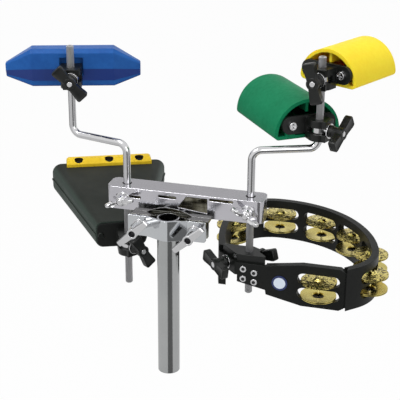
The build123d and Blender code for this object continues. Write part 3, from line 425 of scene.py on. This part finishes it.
def brassFinish(name, centre):
    look = brassLook
    f = Finish(name)
    x, y, z = f.split(f.coords)
    upper = f.math("GREATER_THAN", z, centre.z)      # the rows part at a set's middle
    rim = (look["cupRadius"], look["cupRadius"] + look["cupBlend"])
    # painted shade and reflection: a dark cup in the middle of each lower disc
    inCupShade = f.spread(f.away(x, y, centre), 1, 0, rim)
    cupShadeShare = f.math("MULTIPLY", inCupShade, f.math("SUBTRACT", 1.0, upper))
    dents = f.add("ShaderNodeTexVoronoi", feature="SMOOTH_F1")
    f.feed(dents.inputs["Scale"], look["dents"])
    f.feed(dents.inputs["Vector"], f.coords)
    cloud = f.noise(look["tarnishScale"], detail=4)
    plain = f.mix(f.spread(cloud, 0, 1, look["tarnishRange"]), look["tone"], look["tarnish"])
    blots = f.noise(look["pitScale"], detail=2)
    pitting = f.spread(blots, 0, look["pitCover"], look["pitRange"])
    pitted = f.mix(f.math("MULTIPLY", pitting, upper), plain, look["pits"])
    base = f.mix(cupShadeShare, pitted, look["cup"])
    rough = f.spread(cloud, *(look["rough"] * k for k in look["roughSpread"]))
    height = f.math("MULTIPLY", dents.outputs["Distance"], upper)
    normal = f.bump(height, look["dentBump"], look["dentDepth"])
    return f.set(base=base, metal=1.0, rough=rough, normal=normal)


# threaded steel that ends inside a nut, painted dark for the shade in the bore, with painted shade in its grooves
threadLook = {
    "tone": linear(58, 58, 60),
    "groove": linear(16, 16, 17),
    "pitch": 0.00125,
    "grooveBump": 0.5,
    "grooveDepth": 0.0002,
    "oil": 200,
    "rough": (0.3, 0.5),
}


def threadFinish(name):
    look = threadLook
    f = Finish(name)
    y = f.split(f.coords)[1]
    wave = f.math("SINE", f.math("MULTIPLY", y, 2 * pi / look["pitch"]))
    # painted shade in the thread's grooves
    base = f.mix(f.spread(wave, 0, 1, (-1, 1)), look["groove"], look["tone"])
    rough = f.spread(f.noise(look["oil"]), *look["rough"])
    normal = f.bump(wave, look["grooveBump"], look["grooveDepth"])
    return f.set(base=base, metal=1.0, rough=rough, normal=normal)


# the bare disc where a badge sits: pale face in a navy surround
badgeLook = {
    "face": linear(214, 224, 236),
    "haze": linear(196, 206, 220),
    "hazeScale": 300,
    "hazeClear": (0.94, 1.0),
    "surround": linear(30, 44, 92),
    "faceRadius": 0.0076,
    "rough": 0.28,
}


def badgeFinish(name):
    look = badgeLook
    f = Finish(name)
    low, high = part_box("tambourine_badge")
    middle = (low + high) / 2
    x, y, z = f.split(f.coords)
    onRim = f.math("GREATER_THAN", f.away(x, z, middle.xz), look["faceRadius"])
    clear = f.spread(f.noise(look["hazeScale"]), *look["hazeClear"])
    base = f.mix(onRim, f.mix(clear, look["haze"], look["face"]), look["surround"])
    return f.set(base=base, rough=look["rough"])


def endAxis(node, atTop):
    # axis of the straight run at one end of a rod, from the points there
    low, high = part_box(node)
    level = high.z - rodLook["endRun"] if atTop else low.z + rodLook["endRun"]
    near = [v.co for v in parts[node].data.vertices if (v.co.z > level) == atTop]
    lowX, highX = min(p.x for p in near), max(p.x for p in near)
    lowY, highY = min(p.y for p in near), max(p.y for p in near)
    return (lowX + highX) / 2, (lowY + highY) / 2


def islands(obj):
    # points of each separate solid in a node
    mesh = obj.data
    owner = list(range(len(mesh.vertices)))

    def root(i):
        while owner[i] != i:
            owner[i] = owner[owner[i]]
            i = owner[i]
        return i

    for edge in mesh.edges:
        a, b = (root(i) for i in edge.vertices)
        owner[a] = b
    groups = {}
    for i, v in enumerate(mesh.vertices):
        groups.setdefault(root(i), []).append(v.co)
    return list(groups.values())


# painted shade: a dark ring round each screw head in the cowbell's ridge
screwShade = {"headDepth": 0.0015, "growth": 1.5}


def screwShadeRings(node):
    pits = []
    for spots in islands(parts[node]):
        top = max(spot.z for spot in spots)
        rim = [spot for spot in spots if spot.z > top - screwShade["headDepth"]]
        centre = sum(rim, Vector()) / len(rim)
        pits.append((centre, screwShade["growth"] * max((spot - centre).length for spot in rim)))
    return pits


# one finish for each slot, and finishes of single nodes that differ from their slot's
slotFinishes = {
    "tube_steel": metalFinish("tubeChrome"),
    "plate_steel": metalFinish("plateChrome"),
    "bright_chrome": metalFinish("screwChrome"),
    "black_plastic": plasticFinish("blackPlastic"),
    "blue_plastic": plasticFinish("bluePlastic"),
    "green_plastic": plasticFinish("greenPlastic"),
    "yellow_plastic": plasticFinish("yellowPlastic"),
    "ring_plastic": plasticFinish("ringPlastic"),
    "badge_plastic": badgeFinish("badgeFace"),
}
rivetCoat = coatFinish("rivetCoat")
nodeFinishes = {
    "cowbell_shell": coatFinish("bellCoat"),
    "cowbell_rivets": rivetCoat,
    "cowbell_ridge_screws": rivetCoat,
    "cowbell_ridge": plasticFinish("ridgePlastic", screwShadeRings("cowbell_ridge_screws")),
    "clamp_saddle": metalFinish("saddleChrome"),
    "clamp_bolts": threadFinish("shadedThread"),
}


def finishOf(name):
    low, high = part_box(name)
    slot = slotOf[name]
    if slot == "rod_steel":
        return rodFinish(name + "Steel", endAxis(name, False), endAxis(name, True),
                         low.z + rodLook["lowerTop"], low.z + rodLook["upperFoot"][name])
    if slot == "brass":
        return brassFinish(name + "Brass", (low + high) / 2)
    if name == "rack_bar":
        rods = [endAxis(rod, False) for rod in ("rod_left", "rod_right")]
        return metalFinish("barChrome", rods, (low - Vector((0, 0, barMarks["openBelow"])), high))
    return nodeFinishes[name] if name in nodeFinishes else slotFinishes[slot]


for name, obj in parts.items():
    obj.data.materials.clear()
    obj.data.materials.append(finishOf(name))
print("finishes on")


# helpers for the made pieces
jointOf = {joint["child"]: joint for joint in frame["joints"]}
bodyOf = {node: body for body, nodes in frame["record"]["behaviour"]["bodies"].items()
          for node in nodes}
tipShare = 0.9               # points this far out belong to the tips of a nut's arms


def nutAxes(node):
    # a point on a nut's outward axis, the axis, the run of its arms, and where it starts and ends
    joint = jointOf[bodyOf[node]]
    axis = Vector(joint["axis"]).normalized()
    origin = Vector(joint["pos_m"])
    spots = [v.co - origin for v in parts[node].data.vertices]
    along = [spot.dot(axis) for spot in spots]
    flat = [spot - axis * reach for spot, reach in zip(spots, along)]
    farthest = max(flat, key=lambda spot: spot.length)
    tips = [spot for spot in flat if spot.length > tipShare * farthest.length]
    run = sum(((tip if tip.dot(farthest) > 0 else -tip) for tip in tips), Vector()).normalized()
    return origin, axis, run, min(along), max(along)


def ownAxes(origin, run, side, axis):
    # from a shape drawn on X, Y and Z to a piece's own axes
    turn = Matrix((run, side, axis)).transposed().to_4x4()
    turn.translation = origin
    return turn


def placed(bm, origin, run, side, axis):
    bmesh.ops.transform(bm, matrix=ownAxes(origin, run, side, axis), verts=bm.verts)


def turned(bm, angle, axis):
    bmesh.ops.rotate(bm, matrix=Matrix.Rotation(angle, 3, axis), verts=bm.verts)


def lathe(bm, profile, steps=40):
    # closed profile of radius and height, turned round Z; a point on Z becomes one vertex
    poles = {i: bm.verts.new((0, 0, z)) for i, (r, z) in enumerate(profile) if r == 0}
    rings = []
    for k in range(steps):
        a = 2 * pi * k / steps
        rings.append([poles[i] if i in poles else bm.verts.new((r * cos(a), r * sin(a), z))
                      for i, (r, z) in enumerate(profile)])
    count = len(profile)
    for k in range(steps):
        here, there = rings[k], rings[(k + 1) % steps]
        for i in range(count):
            j = (i + 1) % count
            corners = list(dict.fromkeys((here[i], there[i], there[j], here[j])))
            if len(corners) > 2:
                bm.faces.new(corners)


def latheDrill(bm, radius, low, high):
    lathe(bm, [(0, low), (radius, low), (radius, high), (0, high)])


def prism(bm, outline, low, high):
    under = [bm.verts.new((x, y, low)) for x, y in outline]
    over = [bm.verts.new((x, y, high)) for x, y in outline]
    bm.faces.new(list(reversed(under)))
    bm.faces.new(over)
    count = len(outline)
    for i in range(count):
        j = (i + 1) % count
        bm.faces.new((under[i], under[j], over[j], over[i]))


def quarterTurn(x, y, radius, start, steps):
    # points of a rounded corner about its own centre
    turns = [radians(start + 90 / steps * k) for k in range(steps + 1)]
    return [(x + radius * cos(a), y + radius * sin(a)) for a in turns]


def levelEdges(bm):
    return [e for e in bm.edges if abs(e.verts[0].co.z - e.verts[1].co.z) < 1e-6]


def rounded(bm, edges, radius, steps):
    bmesh.ops.bevel(bm, geom=edges, offset=radius, segments=steps, affect="EDGES", profile=0.5)


def meshObject(name, bm, material):
    bmesh.ops.recalc_face_normals(bm, faces=bm.faces)
    mesh = bpy.data.meshes.new(name)
    bm.to_mesh(mesh)
    bm.free()
    mesh.materials.append(material)
    return addObject(name, mesh)


def joined(first, second, operation="UNION"):
    # boolean of two solids, kept as a plain mesh
    cut = first.modifiers.new("join", "BOOLEAN")
    cut.operation = operation
    cut.solver = "MANIFOLD"
    cut.object = second
    graph = bpy.context.evaluated_depsgraph_get()
    mesh = bpy.data.meshes.new_from_object(first.evaluated_get(graph))
    first.modifiers.clear()
    first.data = mesh
    bpy.data.objects.remove(second)


def smoothed(obj, angle=35, speck=0.00001):
    # slivers that the booleans leave are merged first
    bm = bmesh.new()
    bm.from_mesh(obj.data)
    bmesh.ops.remove_doubles(bm, verts=bm.verts, dist=speck)
    bmesh.ops.dissolve_degenerate(bm, edges=bm.edges, dist=speck)
    bmesh.ops.triangulate(bm, faces=bm.faces)
    bm.to_mesh(obj.data)
    bm.free()
    obj.data.shade_smooth()
    obj.data.set_sharp_from_angle(angle=radians(angle))


# black tee nuts: a hub with a collar and a waisted bar with a sunk face
teeNut = {
    "halfLength": 0.0252,
    "endHalf": 0.0078,
    "waistHalf": 0.0054,
    "waistCurve": 1.6,
    "waistSteps": 16,
    "cornerRadius": 0.0026,
    "cornerSteps": 4,
    "barDepth": 0.0095,
    "edge": 0.0011,
    "edgeSteps": 3,
    "sunkRim": 0.0016,
    "sunkDepth": 0.0007,
    "hubRadius": 0.0078,
    "hubFootEdge": 0.0006,
    "hubTopEdge": (0.0005, 0.0009),      # in from the hub's side, down from the bar's face
    "hubTopSunk": 0.0003,
    "neckRadius": 0.0068,
    "neckFoot": 0.0042,
    "neckSlope": 0.0014,
    "neckInBar": 0.0005,
    "flareInBar": 0.0025,
    "bore": 0.0042,
    "drillPast": 0.002,
    "hubTurn": 0.03,                     # radians, off the bar's own corners
    "nodes": ("blue_block_tee_nut", "green_block_tee_nut", "yellow_block_tee_nut",
              "cowbell_tee_nut", "tambourine_tee_nut", "tambourine_corner_nut"),
}


def waistedOutline(look):
    # a bar with rounded ends, narrower in its middle
    r, wide, waist = look["cornerRadius"], look["endHalf"], look["waistHalf"]
    flat = look["halfLength"] - r
    steps = look["waistSteps"]
    sweep = [flat * (1 - 2 * k / steps) for k in range(1, steps)]

    def width(x):
        return waist + (wide - waist) * (abs(x) / flat) ** look["waistCurve"]

    def corner(x, y, start):
        return quarterTurn(x * flat, y * (wide - r), r, start, look["cornerSteps"])

    return (corner(1, -1, -90) + corner(1, 1, 0) + [(x, width(x)) for x in sweep]
            + corner(-1, 1, 90) + corner(-1, -1, 180) + [(-x, -width(x)) for x in sweep])


def hubProfile(look, back, high):
    # from the hub's foot to its top; a short nut has its neck lower
    r, neck, edge = look["hubRadius"], look["neckRadius"], look["hubFootEdge"]
    neckFoot = min(look["neckFoot"], back - look["neckInBar"])
    top = high - look["hubTopSunk"]
    inwards, down = look["hubTopEdge"]
    return [(0, 0), (r - edge, 0), (r, edge), (r, neckFoot - look["neckSlope"]), (neck, neckFoot),
            (neck, back + look["neckInBar"]), (r, back + look["flareInBar"]), (r, high - down),
            (r - inwards, top), (0, top)]


def makeTeeNut(node):
    look = teeNut
    origin, axis, run, start, end = nutAxes(node)
    high = end - start
    back = high - look["barDepth"]
    bar = bmesh.new()
    prism(bar, waistedOutline(look), back, high)
    rounded(bar, levelEdges(bar), look["edge"], look["edgeSteps"])
    face = max(bar.faces, key=lambda f: (round(f.calc_center_median().z, 6), len(f.verts)))
    bmesh.ops.inset_region(bar, faces=[face], thickness=look["sunkRim"], depth=-look["sunkDepth"])
    hub = bmesh.new()
    lathe(hub, hubProfile(look, back, high))
    drill = bmesh.new()
    latheDrill(drill, look["bore"], -look["drillPast"], high + look["drillPast"])
    for shape in (hub, drill):
        turned(shape, look["hubTurn"], "Z")
    plastic = slotFinishes["black_plastic"]
    nut = meshObject(node.replace("_nut", "_handle"), bar, plastic)
    joined(nut, meshObject(node + "Hub", hub, plastic))
    joined(nut, meshObject(node + "Drill", drill, plastic), "DIFFERENCE")
    smoothed(nut)
    nut.data.transform(ownAxes(origin + axis * start, run, axis.cross(run), axis))
    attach(nut, bodyOf[node])
    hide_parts(node)


for node in teeNut["nodes"]:
    makeTeeNut(node)
print("tee nuts made:", len(teeNut["nodes"]))


# cast wing nuts: a domed hub and two rounded ears that lean outwards
wingNut = {
    "hubHeight": 0.012,
    "hubRadius": 0.0076,
    "footEdge": 0.0005,
    "skirt": 0.0030,
    "topRadius": 0.0056,
    "topEdge": 0.0012,
    "domeFoot": (0.0008, 0.003),         # out from the top's side, down from the top
    "bore": 0.0042,
    "drillPast": (0.002, 0.004),
    "earLength": 0.0215,
    "earHalf": 0.0046,
    "earRoot": 0.0058,
    "earShoulder": (0.35, 0.9),          # share of the length, share of the root
    "earNeck": (0.62, 0.86),             # share of the length, share of the tip
    "earTipSteps": 8,
    "earThickness": 0.0050,
    "earHeight": 0.0068,
    "lean": 24,                          # degrees out of the nut's plane
    "edge": 0.0019,
    "edgeSteps": 4,
    "nodes": ("rod_wing_nut_left", "rod_wing_nut_right"),
}


def earOutline(look):
    # seen from above: a root at the hub, a neck and a round tip
    tip, root, long = look["earHalf"], look["earRoot"], look["earLength"]
    shoulder, neck = look["earShoulder"], look["earNeck"]
    side = [(0, root), (long * shoulder[0], root * shoulder[1]), (long * neck[0], tip * neck[1])]
    turns = [-pi / 2 + pi * k / look["earTipSteps"] for k in range(look["earTipSteps"] + 1)]
    arc = [(long - tip + tip * cos(a), tip * sin(a)) for a in turns]
    return [(x, -y) for x, y in side] + arc + side[::-1]


def makeEar(look, start, way):
    # drawn flat, stood on edge so that its width runs along the nut's axis, then leant outwards
    ear = bmesh.new()
    half = look["earThickness"] / 2
    prism(ear, earOutline(look), -half, half)
    rounded(ear, levelEdges(ear), look["edge"], look["edgeSteps"])
    turned(ear, radians(90), "X")
    turned(ear, -radians(look["lean"]), "Y")
    bmesh.ops.translate(ear, vec=(0, 0, start + look["earHeight"]), verts=ear.verts)
    if way < 0:
        turned(ear, pi, "Z")
    return ear


def makeWingNut(node):
    look = wingNut
    origin, axis, run, start, end = nutAxes(node)
    side = axis.cross(run)
    hubTop = start + look["hubHeight"]
    r, t = look["hubRadius"], look["topRadius"]
    foot, rim = look["footEdge"], look["topEdge"]
    out, down = look["domeFoot"]
    hub = bmesh.new()
    lathe(hub, [(0, start), (r - foot, start), (r, start + foot), (r, start + look["skirt"]),
                (t + out, hubTop - down), (t, hubTop - rim), (t - rim, hubTop), (0, hubTop)])
    placed(hub, origin, run, side, axis)
    chrome = slotFinishes["bright_chrome"]
    nut = meshObject(node.replace("rod_wing", "rod_cast"), hub, chrome)
    for way in (1, -1):
        ear = makeEar(look, start, way)
        placed(ear, origin, run, side, axis)
        joined(nut, meshObject(node + "Ear", ear, chrome))
    drill = bmesh.new()
    below, above = look["drillPast"]
    latheDrill(drill, look["bore"], start - below, end + above)
    placed(drill, origin, run, side, axis)
    joined(nut, meshObject(node + "Drill", drill, chrome), "DIFFERENCE")
    smoothed(nut, angle=50)
    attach(nut, bodyOf[node])
    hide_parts(node)


for node in wingNut["nodes"]:
    makeWingNut(node)
print("wing nuts made:", len(wingNut["nodes"]))


# a stiffening plate that closes the channel over the clamp, with turned-up ends
floorPlate = {
    "fromLeft": 0.047,       # in from the bar's ends and sides
    "fromRight": 0.056,
    "fromFront": 0.004,
    "fromRear": 0.0031,
    "aboveRim": 0.00005,     # over the bar's underside
    "thick": 0.0015,
    "corner": 0.004,
    "cornerSteps": 6,
    "bendRun": 0.008,        # length of each end that turns up
    "endRise": 0.004,
    "bendCurve": 1.5,
    "edge": 0.0004,
    "edgeSteps": 2,
    "sharpTurn": 1.0,        # radians between two faces of a rim
}


def makeFloorPlate():
    look = floorPlate
    r = look["corner"]
    barLow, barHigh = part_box("rack_bar")
    left, right = barLow.x + look["fromLeft"], barHigh.x - look["fromRight"]
    front, rear = barLow.y + look["fromFront"], barHigh.y - look["fromRear"]
    low = barLow.z + look["aboveRim"]
    corners = ((right - r, front + r, -90), (right - r, rear - r, 0),
               (left + r, rear - r, 90), (left + r, front + r, 180))
    outline = [spot for x, y, first in corners
               for spot in quarterTurn(x, y, r, first, look["cornerSteps"])]
    plate = bmesh.new()
    prism(plate, outline, low, low + look["thick"])
    bends = left + look["bendRun"], right - look["bendRun"]
    for bend in bends:
        bmesh.ops.bisect_plane(plate, geom=plate.verts[:] + plate.edges[:] + plate.faces[:],
                               plane_co=(bend, 0, 0), plane_no=(1, 0, 0))
    for v in plate.verts:
        past = max(v.co.x - bends[1], bends[0] - v.co.x, 0)
        v.co.z += look["endRise"] * (past / look["bendRun"]) ** look["bendCurve"]
    rims = [e for e in plate.edges
            if not e.is_manifold or e.calc_face_angle(0) > look["sharpTurn"]]
    rounded(plate, rims, look["edge"], look["edgeSteps"])
    piece = meshObject("rack_floor_plate", plate, metalFinish("saddleChrome"))
    smoothed(piece)
    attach(piece, "rack")


makeFloorPlate()
print("floor plate made")


# hollows in the heads of the ring's tube rivets, painted dark with shade
rivetHollow = {
    "radius": 0.0016,
    "lip": 0.0003,           # width of the lip round the hollow
    "rim": 0.0023,
    "proud": 0.0003,
    "rimHeight": 0.5,        # share of how proud the lip stands
    "mouthHeight": 0.4,
    "sunk": 0.0002,
    "steps": 24,
    "tone": linear(12, 12, 12),
    "dust": linear(26, 26, 25),
    "dustScale": 400,
    "rough": 0.6,
}


def hollowShadeFinish(look):
    f = Finish("hollowShade")
    # painted shade inside each rivet's hollow
    base = f.mix(f.spread(f.noise(look["dustScale"]), 0, 1), look["tone"], look["dust"])
    return f.set(base=base, rough=look["rough"])


def rivetSpots():
    # where each rivet sits across and up the ring's front
    spots = set()
    for points in islands(parts["tambourine_rivets"]):
        spots.add(tuple(round(sum(reach) / len(points), 3)
                        for reach in ([p.x for p in points], [p.z for p in points])))
    return spots


def makeRivetHollows(spots):
    look = rivetHollow
    r, rim, up, back = look["radius"], look["rim"], look["proud"], -look["sunk"]
    profile = [(0, back), (rim, back), (rim, up * look["rimHeight"]), (r + look["lip"], up),
               (r, up * look["mouthHeight"]), (0, 0)]
    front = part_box("tambourine_rivets")[0].y
    forwards = Vector((1, 0, 0)), Vector((0, 0, 1)), Vector((0, -1, 0))
    bm = bmesh.new()
    for x, z in spots:
        one = bmesh.new()
        lathe(one, profile, look["steps"])
        placed(one, Vector((x, front, z)), *forwards)
        part = bpy.data.meshes.new("hollow")
        one.to_mesh(part)
        one.free()
        bm.from_mesh(part)
        bpy.data.meshes.remove(part)
    hollows = meshObject("tambourine_rivet_hollows", bm, hollowShadeFinish(look))
    smoothed(hollows, angle=50)
    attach(hollows, "tambourine")


hollowSpots = rivetSpots()
makeRivetHollows(hollowSpots)
print("rivet hollows made:", len(hollowSpots))


# studio: white surround, soft lamps, and grey cards that only shiny surfaces see
studio = {
    "ambient": 0.55,
    "ambientTone": (0.97, 0.98, 1),
    "aim": (0.04, 0.0, 0.25),
    "lamps": [               # bearing and height seen from the aim, in degrees
        {"name": "keyLamp", "bearing": -40, "height": 58, "away": 2.2, "size": 1.0, "watts": 26},
        {"name": "fillLamp", "bearing": 48, "height": 20, "away": 2.4, "size": 1.6, "watts": 12},
        {"name": "topLamp", "bearing": 178, "height": 78, "away": 2.1, "size": 1.2, "watts": 8,
         "inMirrors": False},
    ],
    "cards": [               # width and height in metres, brightness in reflections
        {"name": "frontCard", "bearing": 30, "height": -24, "away": 1.10,
         "size": (0.86, 0.95), "glow": 0.17},
        {"name": "backCard", "bearing": -165, "height": 25, "away": 3.4,
         "size": (5.0, 1.5), "glow": 0.55},
        {"name": "rightCard", "bearing": 97, "height": 0, "away": 2.6,
         "size": (2.2, 2.6), "glow": 0.45},
        {"name": "leftCard", "bearing": -103, "height": 0, "away": 2.6,
         "size": (2.2, 2.6), "glow": 0.35},
    ],
    "floorSize": 14,
    "floorDrop": 0.75,
    "floorPaper": (0.92, 0.92, 0.92),
    "floorWhite": 0.96,      # share of pure white that the camera sees
    "floorGlow": 0.72,
}


def bareTree(block, outputKind):
    block.use_nodes = True
    tree = block.node_tree
    tree.nodes.clear()
    return tree, tree.nodes.new(outputKind)


def addLight(tree, kind, strength):
    node = tree.nodes.new(kind)
    node.inputs["Strength"].default_value = strength
    return node


def buildWorld():
    # pure white to the camera and in mirrors, dimmer where it lights the rack
    world = bpy.data.worlds.new("whiteRoom")
    bpy.context.scene.world = world
    tree, out = bareTree(world, "ShaderNodeOutputWorld")
    path = tree.nodes.new("ShaderNodeLightPath")
    seen = addLight(tree, "ShaderNodeBackground", 1)
    seen.inputs["Color"].default_value = (1, 1, 1, 1)
    glow = addLight(tree, "ShaderNodeBackground", studio["ambient"])
    glow.inputs["Color"].default_value = (*studio["ambientTone"], 1)
    sharp, either = tree.nodes.new("ShaderNodeMath"), tree.nodes.new("ShaderNodeMath")
    sharp.operation = either.operation = "MAXIMUM"
    mixer = tree.nodes.new("ShaderNodeMixShader")
    link = tree.links.new
    link(path.outputs["Is Camera Ray"], sharp.inputs[0])
    link(path.outputs["Is Glossy Ray"], sharp.inputs[1])
    link(sharp.outputs[0], either.inputs[0])
    link(path.outputs["Is Transmission Ray"], either.inputs[1])
    link(either.outputs[0], mixer.inputs[0])
    link(glow.outputs[0], mixer.inputs[1])
    link(seen.outputs[0], mixer.inputs[2])
    link(mixer.outputs[0], out.inputs["Surface"])


def floorPaint():
    # white to the camera, pale grey in reflections, plain paper for the shadow
    mat = bpy.data.materials.new("floorPaper")
    tree, out = bareTree(mat, "ShaderNodeOutputMaterial")
    paper = tree.nodes.new("ShaderNodeBsdfDiffuse")
    paper.inputs["Color"].default_value = (*studio["floorPaper"], 1)
    lit = addLight(tree, "ShaderNodeEmission", 1)
    mirrored = addLight(tree, "ShaderNodeEmission", studio["floorGlow"])
    path = tree.nodes.new("ShaderNodeLightPath")
    seen = tree.nodes.new("ShaderNodeMixShader")
    reflected = tree.nodes.new("ShaderNodeMixShader")
    share = tree.nodes.new("ShaderNodeMath")
    share.operation = "MULTIPLY"
    share.inputs[1].default_value = studio["floorWhite"]
    link = tree.links.new
    link(path.outputs["Is Glossy Ray"], reflected.inputs[0])
    link(paper.outputs[0], reflected.inputs[1])
    link(mirrored.outputs[0], reflected.inputs[2])
    link(path.outputs["Is Camera Ray"], share.inputs[0])
    link(share.outputs[0], seen.inputs[0])
    link(reflected.outputs[0], seen.inputs[1])
    link(lit.outputs[0], seen.inputs[2])
    link(seen.outputs[0], out.inputs["Surface"])
    return mat


def cardPaint(name, glow):
    mat = bpy.data.materials.new(name)
    tree, out = bareTree(mat, "ShaderNodeOutputMaterial")
    lit = addLight(tree, "ShaderNodeEmission", glow)
    tree.links.new(lit.outputs[0], out.inputs["Surface"])
    return mat


def flatSheet(name, width, depth, material):
    bm = bmesh.new()
    bmesh.ops.create_grid(bm, x_segments=2, y_segments=2, size=0.5)
    bmesh.ops.scale(bm, vec=(width, depth, 1), verts=bm.verts)
    sheet = meshObject(name, bm, material)
    return sheet


def setAround(obj, place):
    # bearing 0 is straight in front of the bar, and turns to the right
    b, h = radians(place["bearing"]), radians(place["height"])
    line = Vector((sin(b) * cos(h), -cos(b) * cos(h), sin(h)))
    obj.location = Vector(studio["aim"]) + line * place["away"]
    obj.rotation_euler = line.to_track_quat("Z", "Y").to_euler()


def buildStudio():
    buildWorld()
    floor = flatSheet("studioFloor", studio["floorSize"], studio["floorSize"], floorPaint())
    floor.location.z = -studio["floorDrop"]
    for lamp in studio["lamps"]:
        data = bpy.data.lights.new(lamp["name"], "AREA")
        data.shape = "DISK"
        data.size = lamp["size"]
        data.energy = lamp["watts"]
        obj = addObject(lamp["name"], data)
        setAround(obj, lamp)
        obj.visible_glossy = lamp.get("inMirrors", True)
    for card in studio["cards"]:
        paint = cardPaint(card["name"] + "Grey", card["glow"])
        obj = flatSheet(card["name"], *card["size"], paint)
        setAround(obj, card)
        obj.visible_camera = obj.visible_diffuse = obj.visible_shadow = False


buildStudio()
print("studio built")
